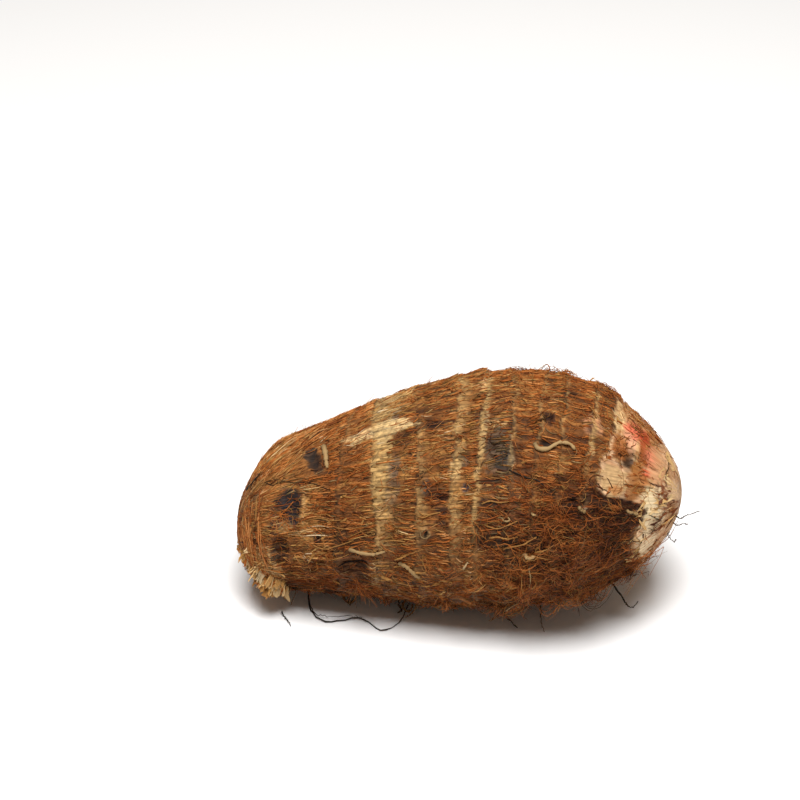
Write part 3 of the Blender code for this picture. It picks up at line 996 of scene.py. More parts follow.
def strand_mesh(name, points, radii, tones, kinds, sides=3):
    """A mesh of thin strands. points is strands x steps x 3 in metres; radii is strands x
    steps in mm; tones has one number from 0 to 1 for each strand, and kinds its kind."""
    count, steps, _ = points.shape
    profile_curve = bpy.data.curves.new("profile", "CURVE")
    profile_curve.dimensions = "2D"
    ring = profile_curve.splines.new("POLY")
    ring.points.add(sides - 1)
    for k, point in enumerate(ring.points):
        corner = 2.0 * math.pi * k / sides
        point.co = (MM * math.cos(corner), MM * math.sin(corner), 0.0, 1.0)
    ring.use_cyclic_u = True
    profile = bpy.data.objects.new("profile", profile_curve)
    curve = bpy.data.curves.new(name, "CURVE")
    curve.dimensions = "3D"
    curve.bevel_mode = "OBJECT"
    curve.bevel_object = profile
    curve.use_fill_caps = True
    spots = np.concatenate([points, np.ones((count, steps, 1))], axis=2).astype(np.float32)
    for place, radius in zip(spots, radii.astype(np.float32)):
        spline = curve.splines.new("POLY")
        spline.points.add(steps - 1)
        spline.points.foreach_set("co", place.ravel())
        spline.points.foreach_set("radius", radius)
    holder = bpy.data.objects.new(name, curve)
    bpy.context.scene.collection.objects.link(holder)
    graph = bpy.context.evaluated_depsgraph_get()
    mesh = bpy.data.meshes.new_from_object(holder.evaluated_get(graph))
    bpy.data.objects.remove(holder)
    bpy.data.objects.remove(profile)
    mesh.name = name
    corner = np.empty(len(mesh.loops), np.int32)
    mesh.loops.foreach_get("vertex_index", corner)
    # Blender lists the end caps first, from the last strand to the first, each tip before
    # its root, and then the strands in order.
    caps = 2 * sides * count
    strand, within = np.divmod(corner - caps, steps * sides)
    step, side = np.divmod(within, sides)
    in_cap = corner < caps
    strand = np.where(in_cap, count - 1 - corner // (2 * sides), strand)
    step = np.where(in_cap, np.where(corner % (2 * sides) < sides, steps - 1, 0), step)
    u = np.clip(tones, 0.005, 0.985)[strand] + 0.006 * side / sides
    v = (kinds[strand] + 0.02 + 0.96 * step / (steps - 1)) / len(STRAND_KINDS)
    for old in list(mesh.uv_layers):
        mesh.uv_layers.remove(old)
    uv = mesh.uv_layers.new(name="OFBake")
    uv.data.foreach_set("uv", np.stack([u, v], axis=1).astype(np.float32).ravel())
    weld(mesh, 0.0005 * MM)
    return mesh


def add_strands(name, points, radii, tones, kinds, sides=3):
    """Adds strands as one piece, none of them lower than the table."""
    points[..., 2] = np.maximum(points[..., 2], corm_low.z + radii * MM)
    mesh = strand_mesh(name, points, radii, tones, kinds, sides)
    mesh.materials.append(strand_material(name))
    piece = add_piece(name, mesh)
    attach(piece, "root")


def strand_kinds(along, turn, rng):
    """Rust, khaki or grey for each strand: khaki on worn tops, rust low down."""
    khaki = 0.13 + 0.35 * np.maximum(mottle(along + 40.0, turn), -0.4)
    khaki = blend_shares(KHAKI_ZONES, along, turn, khaki)
    grey = 0.03 + 0.12 * np.maximum(mottle(along + 80.0, turn), -0.2)
    grey = blend_shares(GREY_ZONES, along, turn, grey)
    pick = rng.random(len(along))
    return np.where(pick < khaki, KHAKI, np.where(pick > 1.0 - grey, GREY, RUST))


def lay(along, turn, lift):
    """Strand points (strands x steps x 3) over the skin, `lift` mm off it."""
    return on_corm(along.ravel(), turn.ravel(), lift.ravel()).reshape(*along.shape, 3)


def along_strand(steps):
    """0 at a strand's root to 1 at its tip, as a row."""
    return np.linspace(0.0, 1.0, steps)[None, :]


def add_fibres(name, count, steps, lengths, radius_range, scatter):
    """Fibres that start past one ring and end before the next."""
    rng = np.random.default_rng(SEED + steps)
    tries = 3 * count
    turn = rng.uniform(0.0, 2.0 * math.pi, tries)
    start = np.maximum(rng.uniform(*BODY_SPAN, tries), 0.5)
    length = rng.uniform(*lengths, tries)
    past, before, last = past_rings(start, turn)
    length = np.minimum(length, before + rng.normal(0.0, 0.35, tries))
    length = np.maximum(length, 0.6 * lengths[0])
    # A fibre grows only where there is room for the whole of it.
    spots = [start + share * length for share in (0.0, 0.35, 0.7, 1.0)]
    amount = np.min([fibre_field(spot, turn, rng)[1] for spot in spots], axis=0)
    band = np.array([NO_BAND] + [ring[2] for ring in RINGS] + [NO_BAND])[last + 1]
    clear = smooth_step(0.3 * band, 1.1 * band, past)
    keep = rng.random(tries) < amount * (0.45 + 0.55 * clear)
    keep = np.flatnonzero(keep & (before > 0.4) & (bareness(start, turn) < 0.3))[:count]
    start, turn, length = start[keep], turn[keep], length[keep]
    count = len(start)
    s = along_strand(steps)
    lean = (fibre_lean(start, turn) + rng.normal(0.0, scatter, count))[:, None]
    bow = rng.normal(0.0, FIBRE_BOW, count)[:, None] * length[:, None] * np.sin(math.pi * s)
    girth = np.maximum(barrel_radius(start), LEAST_RADIUS)[:, None]
    along = start[:, None] + length[:, None] * s * np.cos(lean)
    turns = turn[:, None] + (length[:, None] * s * np.sin(lean) + bow) / girth
    arch = rng.uniform(0.0, FIBRE_ARCH, count)[:, None] * np.sin(math.pi * s)
    lift = 0.02 + arch + rng.exponential(FIBRE_TIP_LIFT, count)[:, None] * s**3
    radii = rng.uniform(*radius_range, count)[:, None] * (1.0 - FIBRE_TAPER * s**2)
    tone, _ = fibre_field(start + 0.5 * length, turn, rng)
    pale = band_paleness(start + 0.4 * length, turn)
    tone = tone + 0.16 * pale + rng.normal(0.0, 0.07, count)
    tone = tone - ODD_TONE * (rng.random(count) < DARK_SHARE)
    tone = tone + ODD_TONE * (rng.random(count) < LIGHT_SHARE)
    kinds = np.where(rng.random(count) < 0.8 * pale, KHAKI, strand_kinds(start, turn, rng))
    add_strands(name, lay(along, turns, lift), radii, tone, kinds)


def crawl(rng, along, turn, heading, length, steps, curl, wander):
    """Paths that wind over the skin: (along, turn) for each strand and step."""
    hop = length / (steps - 1)
    alongs, turns = [along], [turn]
    for _ in range(steps - 1):
        along = np.clip(along + hop * np.cos(heading), 0.3, LENGTH - 0.3)
        turn = turn + hop * np.sin(heading) / np.maximum(barrel_radius(along), 5.0)
        heading = heading + hop * curl + np.sqrt(hop) * wander * rng.standard_normal(len(along))
        alongs.append(along)
        turns.append(turn)
    return np.stack(alongs, axis=1), np.stack(turns, axis=1)


def add_bud_fibres():
    """Scattered fibres on the bud, most of them where its scales are worn."""
    rng = np.random.default_rng(SEED + 9)
    tries = 10 * BUD_FIBRE_COUNT
    start, turn = rng.uniform(*BUD_SPAN, tries), rng.uniform(0.0, 2.0 * math.pi, tries)
    bare_skin = (np.full(tries, 0.50), np.full(tries, 0.03))
    tone, amount = blend_zones(BUD_FIBRE_ZONES, start, turn, bare_skin, 0.25, 0.25, rng)
    chance = amount * barrel_radius(start) / (0.5 * GIRTH) * bareness(start, turn)
    keep = np.flatnonzero(rng.random(tries) < chance)[:BUD_FIBRE_COUNT]
    start, turn, tone = start[keep], turn[keep], tone[keep]
    count = len(start)
    heading = rng.normal(0.0, 0.8, count) + math.pi * (rng.random(count) < 0.5)
    length, curl = rng.uniform(*BUD_FIBRE_LENGTHS, count), rng.normal(0.0, 0.3, count)
    along, turns = crawl(rng, start, turn, heading, length, BUD_FIBRE_STEPS, curl, 0.3)
    s = along_strand(BUD_FIBRE_STEPS)
    lift = BUD_FIBRE_LIFT + np.minimum(rng.exponential(0.16, count), 0.9)[:, None] * s**1.4
    radii = rng.uniform(*BUD_FIBRE_RADII, count)[:, None] * (1.0 - 0.6 * s)
    tone = tone + rng.normal(0.0, 0.09, count)
    kinds = rng.choice((RUST, KHAKI), count, p=(0.7, 0.3))
    add_strands("bud_fibres", lay(along, turns, lift), radii, tone, kinds)


add_bud_fibres()
for coat in FIBRE_COATS:
    add_fibres(*coat)


# ---- Ring fringes -----------------------------------------------------------------------
# The torn rim of each old leaf base: a row of short stiff fibre ends that overlap the pale
# skin past the ring.

FRINGE_PER_RING, FRINGE_STEPS = 300, 3
# How far each end starts behind the edge and rises at its tip, and its radius, in mm.
FRINGE_BEHIND, FRINGE_RISE, FRINGE_RADII = (0.8, 3.0), (0.05, 0.45), (0.10, 0.22)


def add_fringes():
    rng = np.random.default_rng(SEED + 1)
    rows = []
    for k in range(len(RINGS) - 1):
        turn = rng.uniform(0.0, 2.0 * math.pi, FRINGE_PER_RING)
        edge = ring_edge(k, turn)
        start = edge - rng.uniform(*FRINGE_BEHIND, FRINGE_PER_RING)
        end = edge + rng.normal(0.05, 0.25, FRINGE_PER_RING)
        tip = rng.uniform(*FRINGE_RISE, FRINGE_PER_RING)
        rows.append(np.stack([turn, start, end, tip], axis=1))
    turn, start, end, tip = np.concatenate(rows).T
    count = len(turn)
    s = along_strand(FRINGE_STEPS)
    along = start[:, None] + (end - start)[:, None] * s
    turns = turn[:, None] + rng.normal(0.0, 0.012, count)[:, None] * s
    lift = 0.05 + tip[:, None] * s**2
    radii = rng.uniform(*FRINGE_RADII, count)[:, None] * (1.0 - 0.6 * s**2)
    tone, amount = fibre_field(start, turn, rng)
    tone = tone + 0.04 + rng.normal(0.0, 0.08, count)
    keep = rng.random(count) < amount
    points = lay(along, turns, lift)
    kinds = strand_kinds(start, turn, rng)
    points, radii, tone, kinds = (part[keep] for part in (points, radii, tone, kinds))
    add_strands("ring_fringes", points, radii, tone, kinds)


add_fringes()


# ---- Heel fibres ------------------------------------------------------------------------
# At the heel, where the corm broke from its parent, the fibres run round the nose to the
# torn place and end in a ragged tuft of straw splinters that reaches the table.

# The rounded end is a ball this long, and this wide where it meets the body.
HEEL_BALL = HEEL_ROUNDING * LENGTH
HEEL_WIDE = barrel_radius(np.array([HEEL_BALL * 1.001]))[0]
TUFT_ALONG, TUFT_ROUND = 8.0, math.radians(126.0)
HEEL_FIBRES, HEEL_STEPS = 3000, 6
HEEL_LENGTHS, HEEL_RADII, HEEL_ARCH = (2.5, 11.0), (0.06, 0.20), (0.0, 0.35)
HEEL_LIGHTEST = 0.68
# Where the heel fibres start round the nose, and how widely they aim at the tuft, in mm.
HEEL_TURNS, HEEL_AIM = (math.radians(28.0), math.radians(175.0)), 2.6
NOSE_FIBRES, NOSE_STEPS = 900, 4
NOSE_LENGTHS, NOSE_RADII = (0.8, 3.6), (0.05, 0.15)
SPLINTERS, SPLINTER_THICKNESS, SPLINTER_TONE = 92, 0.22, 0.67
# How long and wide a splinter is in mm at the inner edge of the tuft, and how much more at
# the outer one.
SPLINTER_LENGTH, SPLINTER_WIDTH = (1.0, 2.3), (1.2, 1.5)
SPLINTER_WAY = np.array((-0.45, -0.30, -0.85))
SHEET_COLUMNS, SHEET_ROWS = 6, 4


def onto_nose(points):
    """(along, turn) of the skin under points near the heel, in the corm's own frame."""
    centre = np.array([HEEL_BALL, 0.0, 0.0]) + long_axis(np.array([HEEL_BALL]))[0]
    from_centre = points - centre
    off = np.hypot(from_centre[:, 1], from_centre[:, 2])
    turn = np.arctan2(-from_centre[:, 1], from_centre[:, 2])
    steep = np.arctan2(-np.minimum(from_centre[:, 0], 0.0) / HEEL_BALL, off / HEEL_WIDE)
    along = np.where(from_centre[:, 0] < 0.0, HEEL_BALL * (1.0 - np.sin(steep)), points[:, 0])
    return along, turn


def add_heel_fibres():
    """Fibres that start round the heel and run towards the torn tuft."""
    rng = np.random.default_rng(SEED + 2)
    turn = rng.uniform(*HEEL_TURNS, HEEL_FIBRES)
    turn = turn + rng.normal(0.0, 0.12, HEEL_FIBRES)
    ragged = noise_at(np.stack([4.0 * np.cos(turn), 4.0 * np.sin(turn), 0.0 * turn], axis=1))
    start = rng.uniform(0.0, 9.5, HEEL_FIBRES) * (1.0 + 0.3 * ragged)
    start = np.maximum(start, 0.3)
    tuft = grown(np.array([TUFT_ALONG]), np.array([TUFT_ROUND]), 0.0, False)[0]
    begin = grown(start, turn, 0.0, False)
    aim = tuft + rng.normal(0.0, HEEL_AIM, (HEEL_FIBRES, 3))
    reach = np.linalg.norm(aim - begin, axis=1)
    share = np.minimum(rng.uniform(*HEEL_LENGTHS, HEEL_FIBRES) / reach, 1.0)
    s = along_strand(HEEL_STEPS)
    lines = begin[:, None, :] + (aim - begin)[:, None, :] * (s * share[:, None])[:, :, None]
    along, turns = onto_nose(lines.reshape(-1, 3))
    along, turns = (part.reshape(HEEL_FIBRES, HEEL_STEPS) for part in (along, turns))
    ridges = noise_at(np.stack([0.15 * start, 13.0 * np.cos(turn), 13.0 * np.sin(turn)], axis=1))
    lift = 0.12 + 0.25 * ridges[:, None]
    lift = lift + rng.uniform(*HEEL_ARCH, HEEL_FIBRES)[:, None] * np.sin(math.pi * s)
    lift = lift + rng.exponential(0.14, HEEL_FIBRES)[:, None] * s**3
    radii = rng.uniform(*HEEL_RADII, HEEL_FIBRES)[:, None] * (1.0 - 0.6 * s**2)
    tone, _ = fibre_field(start, turn, rng)
    steps = range(0, HEEL_STEPS, 2)
    amount = np.min([fibre_field(along[:, k], turns[:, k], rng)[1] for k in steps], axis=0)
    tone = 0.3 * tone + 0.38 + 0.50 * ridges + rng.normal(0.0, 0.09, HEEL_FIBRES)
    tone = np.minimum(tone, HEEL_LIGHTEST)
    above_ledge = 1.0 - smooth_step(math.radians(50.0), math.radians(62.0), turn + 0.15 * ragged)
    fading = 1.0 - smooth_step(1.0, 8.0, start + 1.6 * rng.standard_normal(HEEL_FIBRES))
    keep = rng.random(HEEL_FIBRES) < amount * fading * (1.0 - 0.7 * above_ledge)
    kinds = rng.choice((RUST, KHAKI), HEEL_FIBRES, p=(0.88, 0.12))
    points = lay(along, turns, lift)
    points, radii, tone, kinds = (part[keep] for part in (points, radii, tone, kinds))
    add_strands("heel_fibres", points, radii, tone, kinds)


def add_nose_fibres():
    """Short fibres every which way over the torn nose."""
    rng = np.random.default_rng(SEED + 10)
    reach = 0.92 * HEEL_WIDE * np.sqrt(rng.random(NOSE_FIBRES))
    way = rng.uniform(0.0, 2.0 * math.pi, NOSE_FIBRES)
    s = along_strand(NOSE_STEPS)
    heading = rng.uniform(0.0, 2.0 * math.pi, NOSE_FIBRES)[:, None]
    heading = heading + rng.normal(0.0, 0.6, NOSE_FIBRES)[:, None] * s
    length = rng.uniform(*NOSE_LENGTHS, NOSE_FIBRES)[:, None] * s
    y = (reach * np.cos(way))[:, None] + length * np.cos(heading)
    z = (reach * np.sin(way))[:, None] + length * np.sin(heading)
    share = np.minimum(np.hypot(y, z) / HEEL_WIDE, 0.98)
    along, turns = HEEL_BALL * (1.0 - np.sqrt(1.0 - share**2)), np.arctan2(-y, z)
    lift = 0.05 + np.minimum(rng.exponential(0.28, NOSE_FIBRES), 1.6)[:, None] * s**1.4
    radii = rng.uniform(*NOSE_RADII, NOSE_FIBRES)[:, None] * (1.0 - 0.6 * s)
    spots = np.stack([0.0 * reach, reach * np.cos(way), reach * np.sin(way)], axis=1)
    patchy = noise_at(spots / 2.2)
    tone = 0.46 + 0.35 * patchy + rng.normal(0.0, 0.09, NOSE_FIBRES)
    kinds = rng.choice((RUST, KHAKI, GREY), NOSE_FIBRES, p=(0.6, 0.3, 0.1))
    add_strands("nose_fibres", lay(along, turns, lift), radii, tone, kinds)


def sheet_mesh(name, places, tones, kinds, thickness):
    """A mesh of thin torn sheets. places is sheets x columns x rows x 3, in metres."""
    count, columns, rows, _ = places.shape
    mesh, column, row = grid_mesh(name, columns - 1, rows - 1, count)
    sheet = np.arange(len(column)) // (columns * rows)
    mesh.vertices.foreach_set("co", places[sheet, column, row].astype(np.float32).ravel())
    corner = np.empty(len(mesh.loops), np.int32)
    mesh.loops.foreach_get("vertex_index", corner)
    u = np.clip(tones, 0.005, 0.965)[sheet] + 0.02 * row / (rows - 1)
    v = (kinds[sheet] + 0.02 + 0.96 * column / (columns - 1)) / len(STRAND_KINDS)
    spread = np.stack([u, v], axis=1)[corner].astype(np.float32)
    mesh.uv_layers["OFBake"].data.foreach_set("uv", spread.ravel())
    bm = bmesh.new()
    bm.from_mesh(mesh)
    bmesh.ops.recalc_face_normals(bm, faces=bm.faces)
    bmesh.ops.solidify(bm, geom=bm.faces[:], thickness=thickness * MM)
    bmesh.ops.recalc_face_normals(bm, faces=bm.faces)
    bm.to_mesh(mesh)
    bm.free()
    return mesh


def sheet_outline(count, columns, rows, length, width, narrowing, torn, rng):
    """Each sheet's vertices as mm along and across it, with torn edges and a torn tip."""
    u = np.linspace(0.0, 1.0, columns)[None, :, None]
    w = np.linspace(-1.0, 1.0, rows)[None, None, :]
    side = 0.5 * width[:, None, None] * (1.0 - narrowing * u)
    side = side * (1.0 + torn * rng.standard_normal((count, columns, 1)))
    far = length[:, None, None] * u
    far = far * (1.0 + 1.3 * torn * u * rng.standard_normal((count, 1, rows)))
    return far, side * w, u, w


def add_sheets(name, places, tones, kinds, thickness):
    """Adds torn sheets as one piece, none of them lower than the table."""
    places[..., 2] = np.maximum(places[..., 2], corm_low.z + thickness * MM)
    mesh = sheet_mesh(name, places, tones, kinds, thickness)
    mesh.materials.append(strand_material(name))
    piece = add_piece(name, mesh)
    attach(piece, "root")


def add_splinters():
    """Straw splinters that hang from the torn place down to the table."""
    rng = np.random.default_rng(SEED + 3)
    edge = rng.uniform(0.0, 1.0, SPLINTERS) ** 0.8
    along = 1.8 + 11.2 * edge + rng.normal(0.0, 0.7, SPLINTERS)
    turn = np.radians(103.0 + 22.0 * edge + rng.normal(0.0, 4.5, SPLINTERS))
    root = grown(np.maximum(along, 0.8), turn, -0.3)
    aim = SPLINTER_WAY + rng.normal(0.0, 0.16, (SPLINTERS, 3))
    aim[:, 0] += 0.35 * smooth_step(0.6, 1.0, edge)
    aim /= np.linalg.norm(aim, axis=1)[:, None]
    across = np.cross(aim, round_way(turn) + 0.4 * rng.standard_normal((SPLINTERS, 3)))
    across /= np.linalg.norm(across, axis=1)[:, None]
    out = np.cross(across, aim)
    length, width = (
        (inner + more * edge) * rng.uniform(0.6, 1.3, SPLINTERS)
        for inner, more in (SPLINTER_LENGTH, SPLINTER_WIDTH)
    )
    far, side, _, w = sheet_outline(
        SPLINTERS, SHEET_COLUMNS, SHEET_ROWS, length, width, 0.3, 0.16, rng
    )
    curl = rng.normal(0.0, 0.10, SPLINTERS)[:, None, None] * far**2 / length[:, None, None]
    curl = curl + 0.18 * width[:, None, None] * w**2
    places = root[:, None, None] + far[..., None] * aim[:, None, None]
    places = places + side[..., None] * across[:, None, None]
    places = places + curl[..., None] * out[:, None, None]
    places = (places + PLACE) * MM
    places[..., 2] = np.maximum(places[..., 2], corm_low.z + 0.3 * MM)
    tone = rng.normal(SPLINTER_TONE, 0.10, SPLINTERS)
    kinds = rng.choice((RUST, KHAKI, GREY), SPLINTERS, p=(0.20, 0.70, 0.10))
    add_sheets("heel_splinters", places, tone, kinds, SPLINTER_THICKNESS)


add_heel_fibres()
add_nose_fibres()
add_splinters()


# ---- Torn scraps ------------------------------------------------------------------------
# Scraps of the old leaf bases' papery skin, torn, dry and curled up at their free ends.
# Each still hangs on by its root end, brown on the body and cream or brown on the bud.

SCRAP_COLUMNS, SCRAP_ROWS, SCRAP_THICKNESS = 5, 3, 0.10
# (along, round, length, width, how many, size in mm, tone, rise)
SCRAP_ZONES = (
    (20, 72, 4, 16, 12, 1.8, 0.48, 0.45),
    (4.5, 180, 5, 40, 60, 1.4, 0.46, 0.35),
    (8, 104, 9, 8, 34, 1.6, 0.6, 0.5),
    (20, 100, 14, 12, 14, 1.3, 0.42, 0.35),
    (42, 106, 20, 12, 28, 1.4, 0.42, 0.4),
    (37.5, 102, 6, 9, 6, 2.4, 0.46, 0.4),
    (55, 78, 70, 46, 150, 1.3, 0.42, 0.25),
    (45, 20, 80, 60, 150, 1.2, 0.48, 0.22),
    (60, 200, 80, 120, 200, 1.6, 0.42, 0.3),
    # on the bud: brown torn bits, then cream papery ones
    (94, -4, 7, 16, 30, 1.7, 0.5, 0.15),
    (91.5, 22, 4, 7, 16, 1.4, 0.44, 0.15),
    (95.6, 27, 3.6, 8, 10, 1.2, 0.38, 0.2),
    (101.2, 55, 2.6, 5, 12, 1.1, 0.34, 0.3),
    (102.4, 82, 2.4, 8, 12, 1.4, 0.34, 0.8),
    (94, 45, 2.6, 6, 10, 1.1, 0.44, 0.2),
    (95, 106, 4, 12, 14, 1.4, 0.34, 0.4),
    (94, 230, 10, 50, 60, 2, 0.52, 0.3),
    (102, 30, 3.4, 12, 16, 2.2, 0.82, 0.12),
    (98.8, 61, 2.4, 6, 9, 2.4, 0.78, 0.2),
    (97.4, 94, 4.6, 10, 20, 1.9, 0.8, 0.35),
)


def add_scraps():
    rng = np.random.default_rng(SEED + 8)
    rows = []
    for at, at_round, length, width, number, *looks in SCRAP_ZONES:
        radius = barrel_radius(np.array([at]))[0]
        place = rng.uniform(-0.5, 0.5, (number, 2))
        along = at + length * place[:, 0]
        turn = math.radians(at_round) + width * place[:, 1] / radius
        rows.append(np.column_stack([along, turn, np.tile(looks, (number, 1))]))
    along, turn, size, tone, rise = np.concatenate(rows).T
    on_bud = bareness(along, turn)
    amount = np.maximum(fibre_field(along, turn, rng)[1], on_bud)
    inside = (along > 2.5 * size) & (along < LENGTH - 0.8 * size)
    keep = (rng.random(len(along)) < amount) & inside
    along, turn, size, tone, rise, on_bud = (
        part[keep] for part in (along, turn, size, tone, rise, on_bud)
    )
    count = len(along)
    length = size * rng.uniform(0.7, 1.6, count)
    width = size * rng.uniform(0.15, 0.40 + 0.45 * on_bud, count)
    far, side, u, w = sheet_outline(
        count, SCRAP_COLUMNS, SCRAP_ROWS, length, width, 0.25, 0.22, rng
    )
    lean = fibre_lean(along, turn) + rng.normal(0.0, 0.45, count)
    lean = (lean + math.pi * (rng.random(count) < 0.4))[:, None, None]
    alongs = along[:, None, None] + far * np.cos(lean) - side * np.sin(lean)
    alongs = np.clip(alongs, 0.2, LENGTH - 0.2)
    girth = np.maximum(barrel_radius(along), LEAST_RADIUS)[:, None, None]
    turns = turn[:, None, None] + (far * np.sin(lean) + side * np.cos(lean)) / girth
    lift = 0.02 + (rise * rng.exponential(0.7, count))[:, None, None] * u**1.6
    cupped = rng.uniform(-0.3, 1.0, count)[:, None, None]
    lift = lift + 0.25 * width[:, None, None] * w**2 * cupped
    lift = lift + 0.05 * rng.standard_normal(alongs.shape)
    places = lay(alongs, turns, np.maximum(lift, -0.05))
    around = fibre_field(along, turn, rng)[0]
    shade = tone + (1.0 - on_bud) * 0.5 * (around - tone) + rng.normal(0.0, 0.07, count)
    dark_kinds = np.where(on_bud > 0.5, RUST, strand_kinds(along, turn, rng))
    kinds = np.where(shade > 0.5, KHAKI, dark_kinds)
    shade = np.minimum(shade, 0.66 + 0.2 * on_bud)
    add_sheets("torn_scraps", places, shade, kinds, SCRAP_THICKNESS)


add_scraps()


# ---- Curly roots ------------------------------------------------------------------------
# Hair-fine feeding roots, dried to a rusty brown. They grow from the rings and lie in a
# thick tangled mat low on the bud half; elsewhere they are short and few.

# (along, round, length, width, tone, amount)
HAIR_ZONES = (
    (75, -30, 44, 40, 0.5, 0.24),
    (25, -40, 50, 40, 0.5, 0.04),
    (60, 118, 90, 46, 0.54, 0.36),
    (25, 120, 40, 30, 0.46, 0.14),
    (80, 95, 40, 40, 0.56, 1),
    (66, 66, 14, 22, 0.46, 0.3),
    (89, 63, 18, 14, 0.34, 1),
    (94.6, 66, 2.6, 8, 0.36, 0.8),
    (94.2, 90, 3.2, 34, 0.42, 0.6),
    (100.2, 76, 8, 70, 0.4, 0.03),
    (96, 10, 14, 44, 0.5, 0.06),
    (91.5, 20, 5, 16, 0.5, 0.28),
    (88.2, 12, 2.4, 22, 0.5, 0.02),
    (96.8, 47, 4, 4, 0.46, 0.25),
    (62.5, 39, 8, 13, 0.3, 0.05),
    (36, 30, 10, 60, 0.5, 0.02),
    (50, 40, 20, 40, 0.5, 0.05),
    (48, 82, 26, 16, 0.44, 0.1),
    (14, 60, 14, 40, 0.5, 0.06),
    (88.4, 44.6, 7.4, 9.6, 0.5, 0),
    (74.5, 79, 3.8, 5, 0.3, 0.3),
    (74.8, 95, 2.8, 3.2, 0.3, 0.3),
    (90.6, 88, 2.8, 4, 0.3, 0.3),
)
CURLY_COUNT, CURLY_STEPS, CURLY_RADII = 4100, 8, (0.04, 0.10)
TUFT_COUNT = 400
# How long a tuft's roots are in mm, and how much longer where they are thick; how much they
# curl, in radians a mm, and wander; and how often one is thicker, and how many times.
TUFT_REACH, MAT_REACH = (2.0, 4.0), (1.5, 6.5)
CURLY_CURL, CURLY_WANDER = 0.11, 0.42
THICK_SHARE, THICK_TIMES = 0.06, 1.9
CURLY_DARKEST, CURLY_LIGHTEST = 0.18, 0.57
SHORT_COUNT, SHORT_STEPS = 7000, 4
SHORT_LENGTHS, SHORT_RADII, SHORT_LIGHTEST = (0.8, 3.6), (0.04, 0.09), 0.68
# Wisps that stand off: (along, round, heading in degrees, length, how many, rise, tone)
WISPS = (
    (94, 120, 4, 9, 18, 5, 0.5),
    (93.5, 108, 0, 8, 10, 4.4, 0.42),
    (84, 118, 60, 7, 14, 3.5, 0.44),
    (70, 124, 80, 6, 14, 3, 0.44),
    (31, 112, 70, 6, 20, 3, 0.42),
    (11.4, 58, 28, 4.6, 20, 0.5, 0.54),
    (13.4, 65, 20, 3.6, 14, 0.5, 0.58),
)


def hair_field(along, turn, rng):
    """The fine roots' tone and how likely one is, at each place."""
    under = smooth_step(-0.5, 0.6, -np.cos(turn))
    # Underneath, the roots are painted darker as painted shade, and more of them grow there.
    start = (0.46 - 0.10 * under, 0.10 + 0.25 * under)
    return blend_zones(HAIR_ZONES, along, turn, start, 0.3, 0.25, rng)


def add_curly_roots():
    """The tangled mat: tufts of long curling roots, and the wisps that stand off it."""
    rng = np.random.default_rng(SEED + 4)
    # Tufts first: each has a place, a heading and a curl that its roots share.
    tries = 14 * TUFT_COUNT
    start, turn = rng.uniform(1.0, 103.0, tries), rng.uniform(0.0, 2.0 * math.pi, tries)
    tone, amount = hair_field(start, turn, rng)
    keep = np.flatnonzero(rng.random(tries) < 0.5 * amount)[:TUFT_COUNT]
    count = len(keep)
    heading = np.where(rng.random(count) < 0.7, math.pi, 0.0) + rng.normal(0.0, 0.7, count)
    reach = rng.uniform(*TUFT_REACH, count) + amount[keep] * rng.uniform(*MAT_REACH, count)
    close = np.where(rng.random(count) < 0.5, 0.45, 1.1)
    tuft_tone = tone[keep] + rng.normal(-0.02, 0.12, count)
    curl = rng.normal(0.0, CURLY_CURL, count)
    rise = np.minimum(rng.exponential(0.25 * reach, count), 1.0 + 3.4 * amount[keep])
    tufts = (start[keep], turn[keep], tuft_tone, heading, curl, rise, reach, close)
    in_tuft = rng.integers(3, 2 * CURLY_COUNT // TUFT_COUNT - 2, count)
    shape = np.repeat(np.stack(tufts, axis=1), in_tuft, axis=0)
    own = []
    for at, at_round, lean, length, number, rise, tone in WISPS:
        way = math.radians(lean)
        own += number * [(at, math.radians(at_round), tone, way, 0.1, rise, 1.1 * length, 0.8)]
    shape = np.concatenate([own, shape])[:CURLY_COUNT]
    start, turn, tone, heading, curl, rise, reach, close = shape.T
    count = len(start)
    start = np.clip(start + close * rng.normal(0.0, 1.0, count), 0.5, 103.5)
    sideways = close * rng.normal(0.0, 1.0, count)
    turn = turn + sideways / np.maximum(barrel_radius(start), LEAST_RADIUS)
    heading = heading + close * rng.normal(0.0, 0.32, count)
    curl = curl + close * rng.normal(0.0, 0.08, count)
    length = reach * rng.uniform(0.5, 1.3, count)
    along, turns = crawl(rng, start, turn, heading, length, CURLY_STEPS, curl, CURLY_WANDER)
    s = along_strand(CURLY_STEPS)
    rise = (rise * rng.uniform(0.4, 1.2, count))[:, None]
    loose = ((rng.random(count) < 0.35) | (np.arange(count) < len(own)))[:, None]
    lift = 0.1 + rise * np.where(loose, s**1.3, np.sin(math.pi * s) ** 0.8)
    thick = np.where(rng.random(count) < THICK_SHARE, THICK_TIMES, 1.0)
    radii = (thick * rng.uniform(*CURLY_RADII, count))[:, None] * (1.0 - 0.5 * s)
    tone = np.clip(tone + rng.normal(-0.01, 0.09, count), CURLY_DARKEST, CURLY_LIGHTEST)
    kinds = rng.choice((RUST, KHAKI, GREY), count, p=(0.80, 0.15, 0.05))
    add_strands("curly_roots", lay(along, turns, lift), radii, tone, kinds)


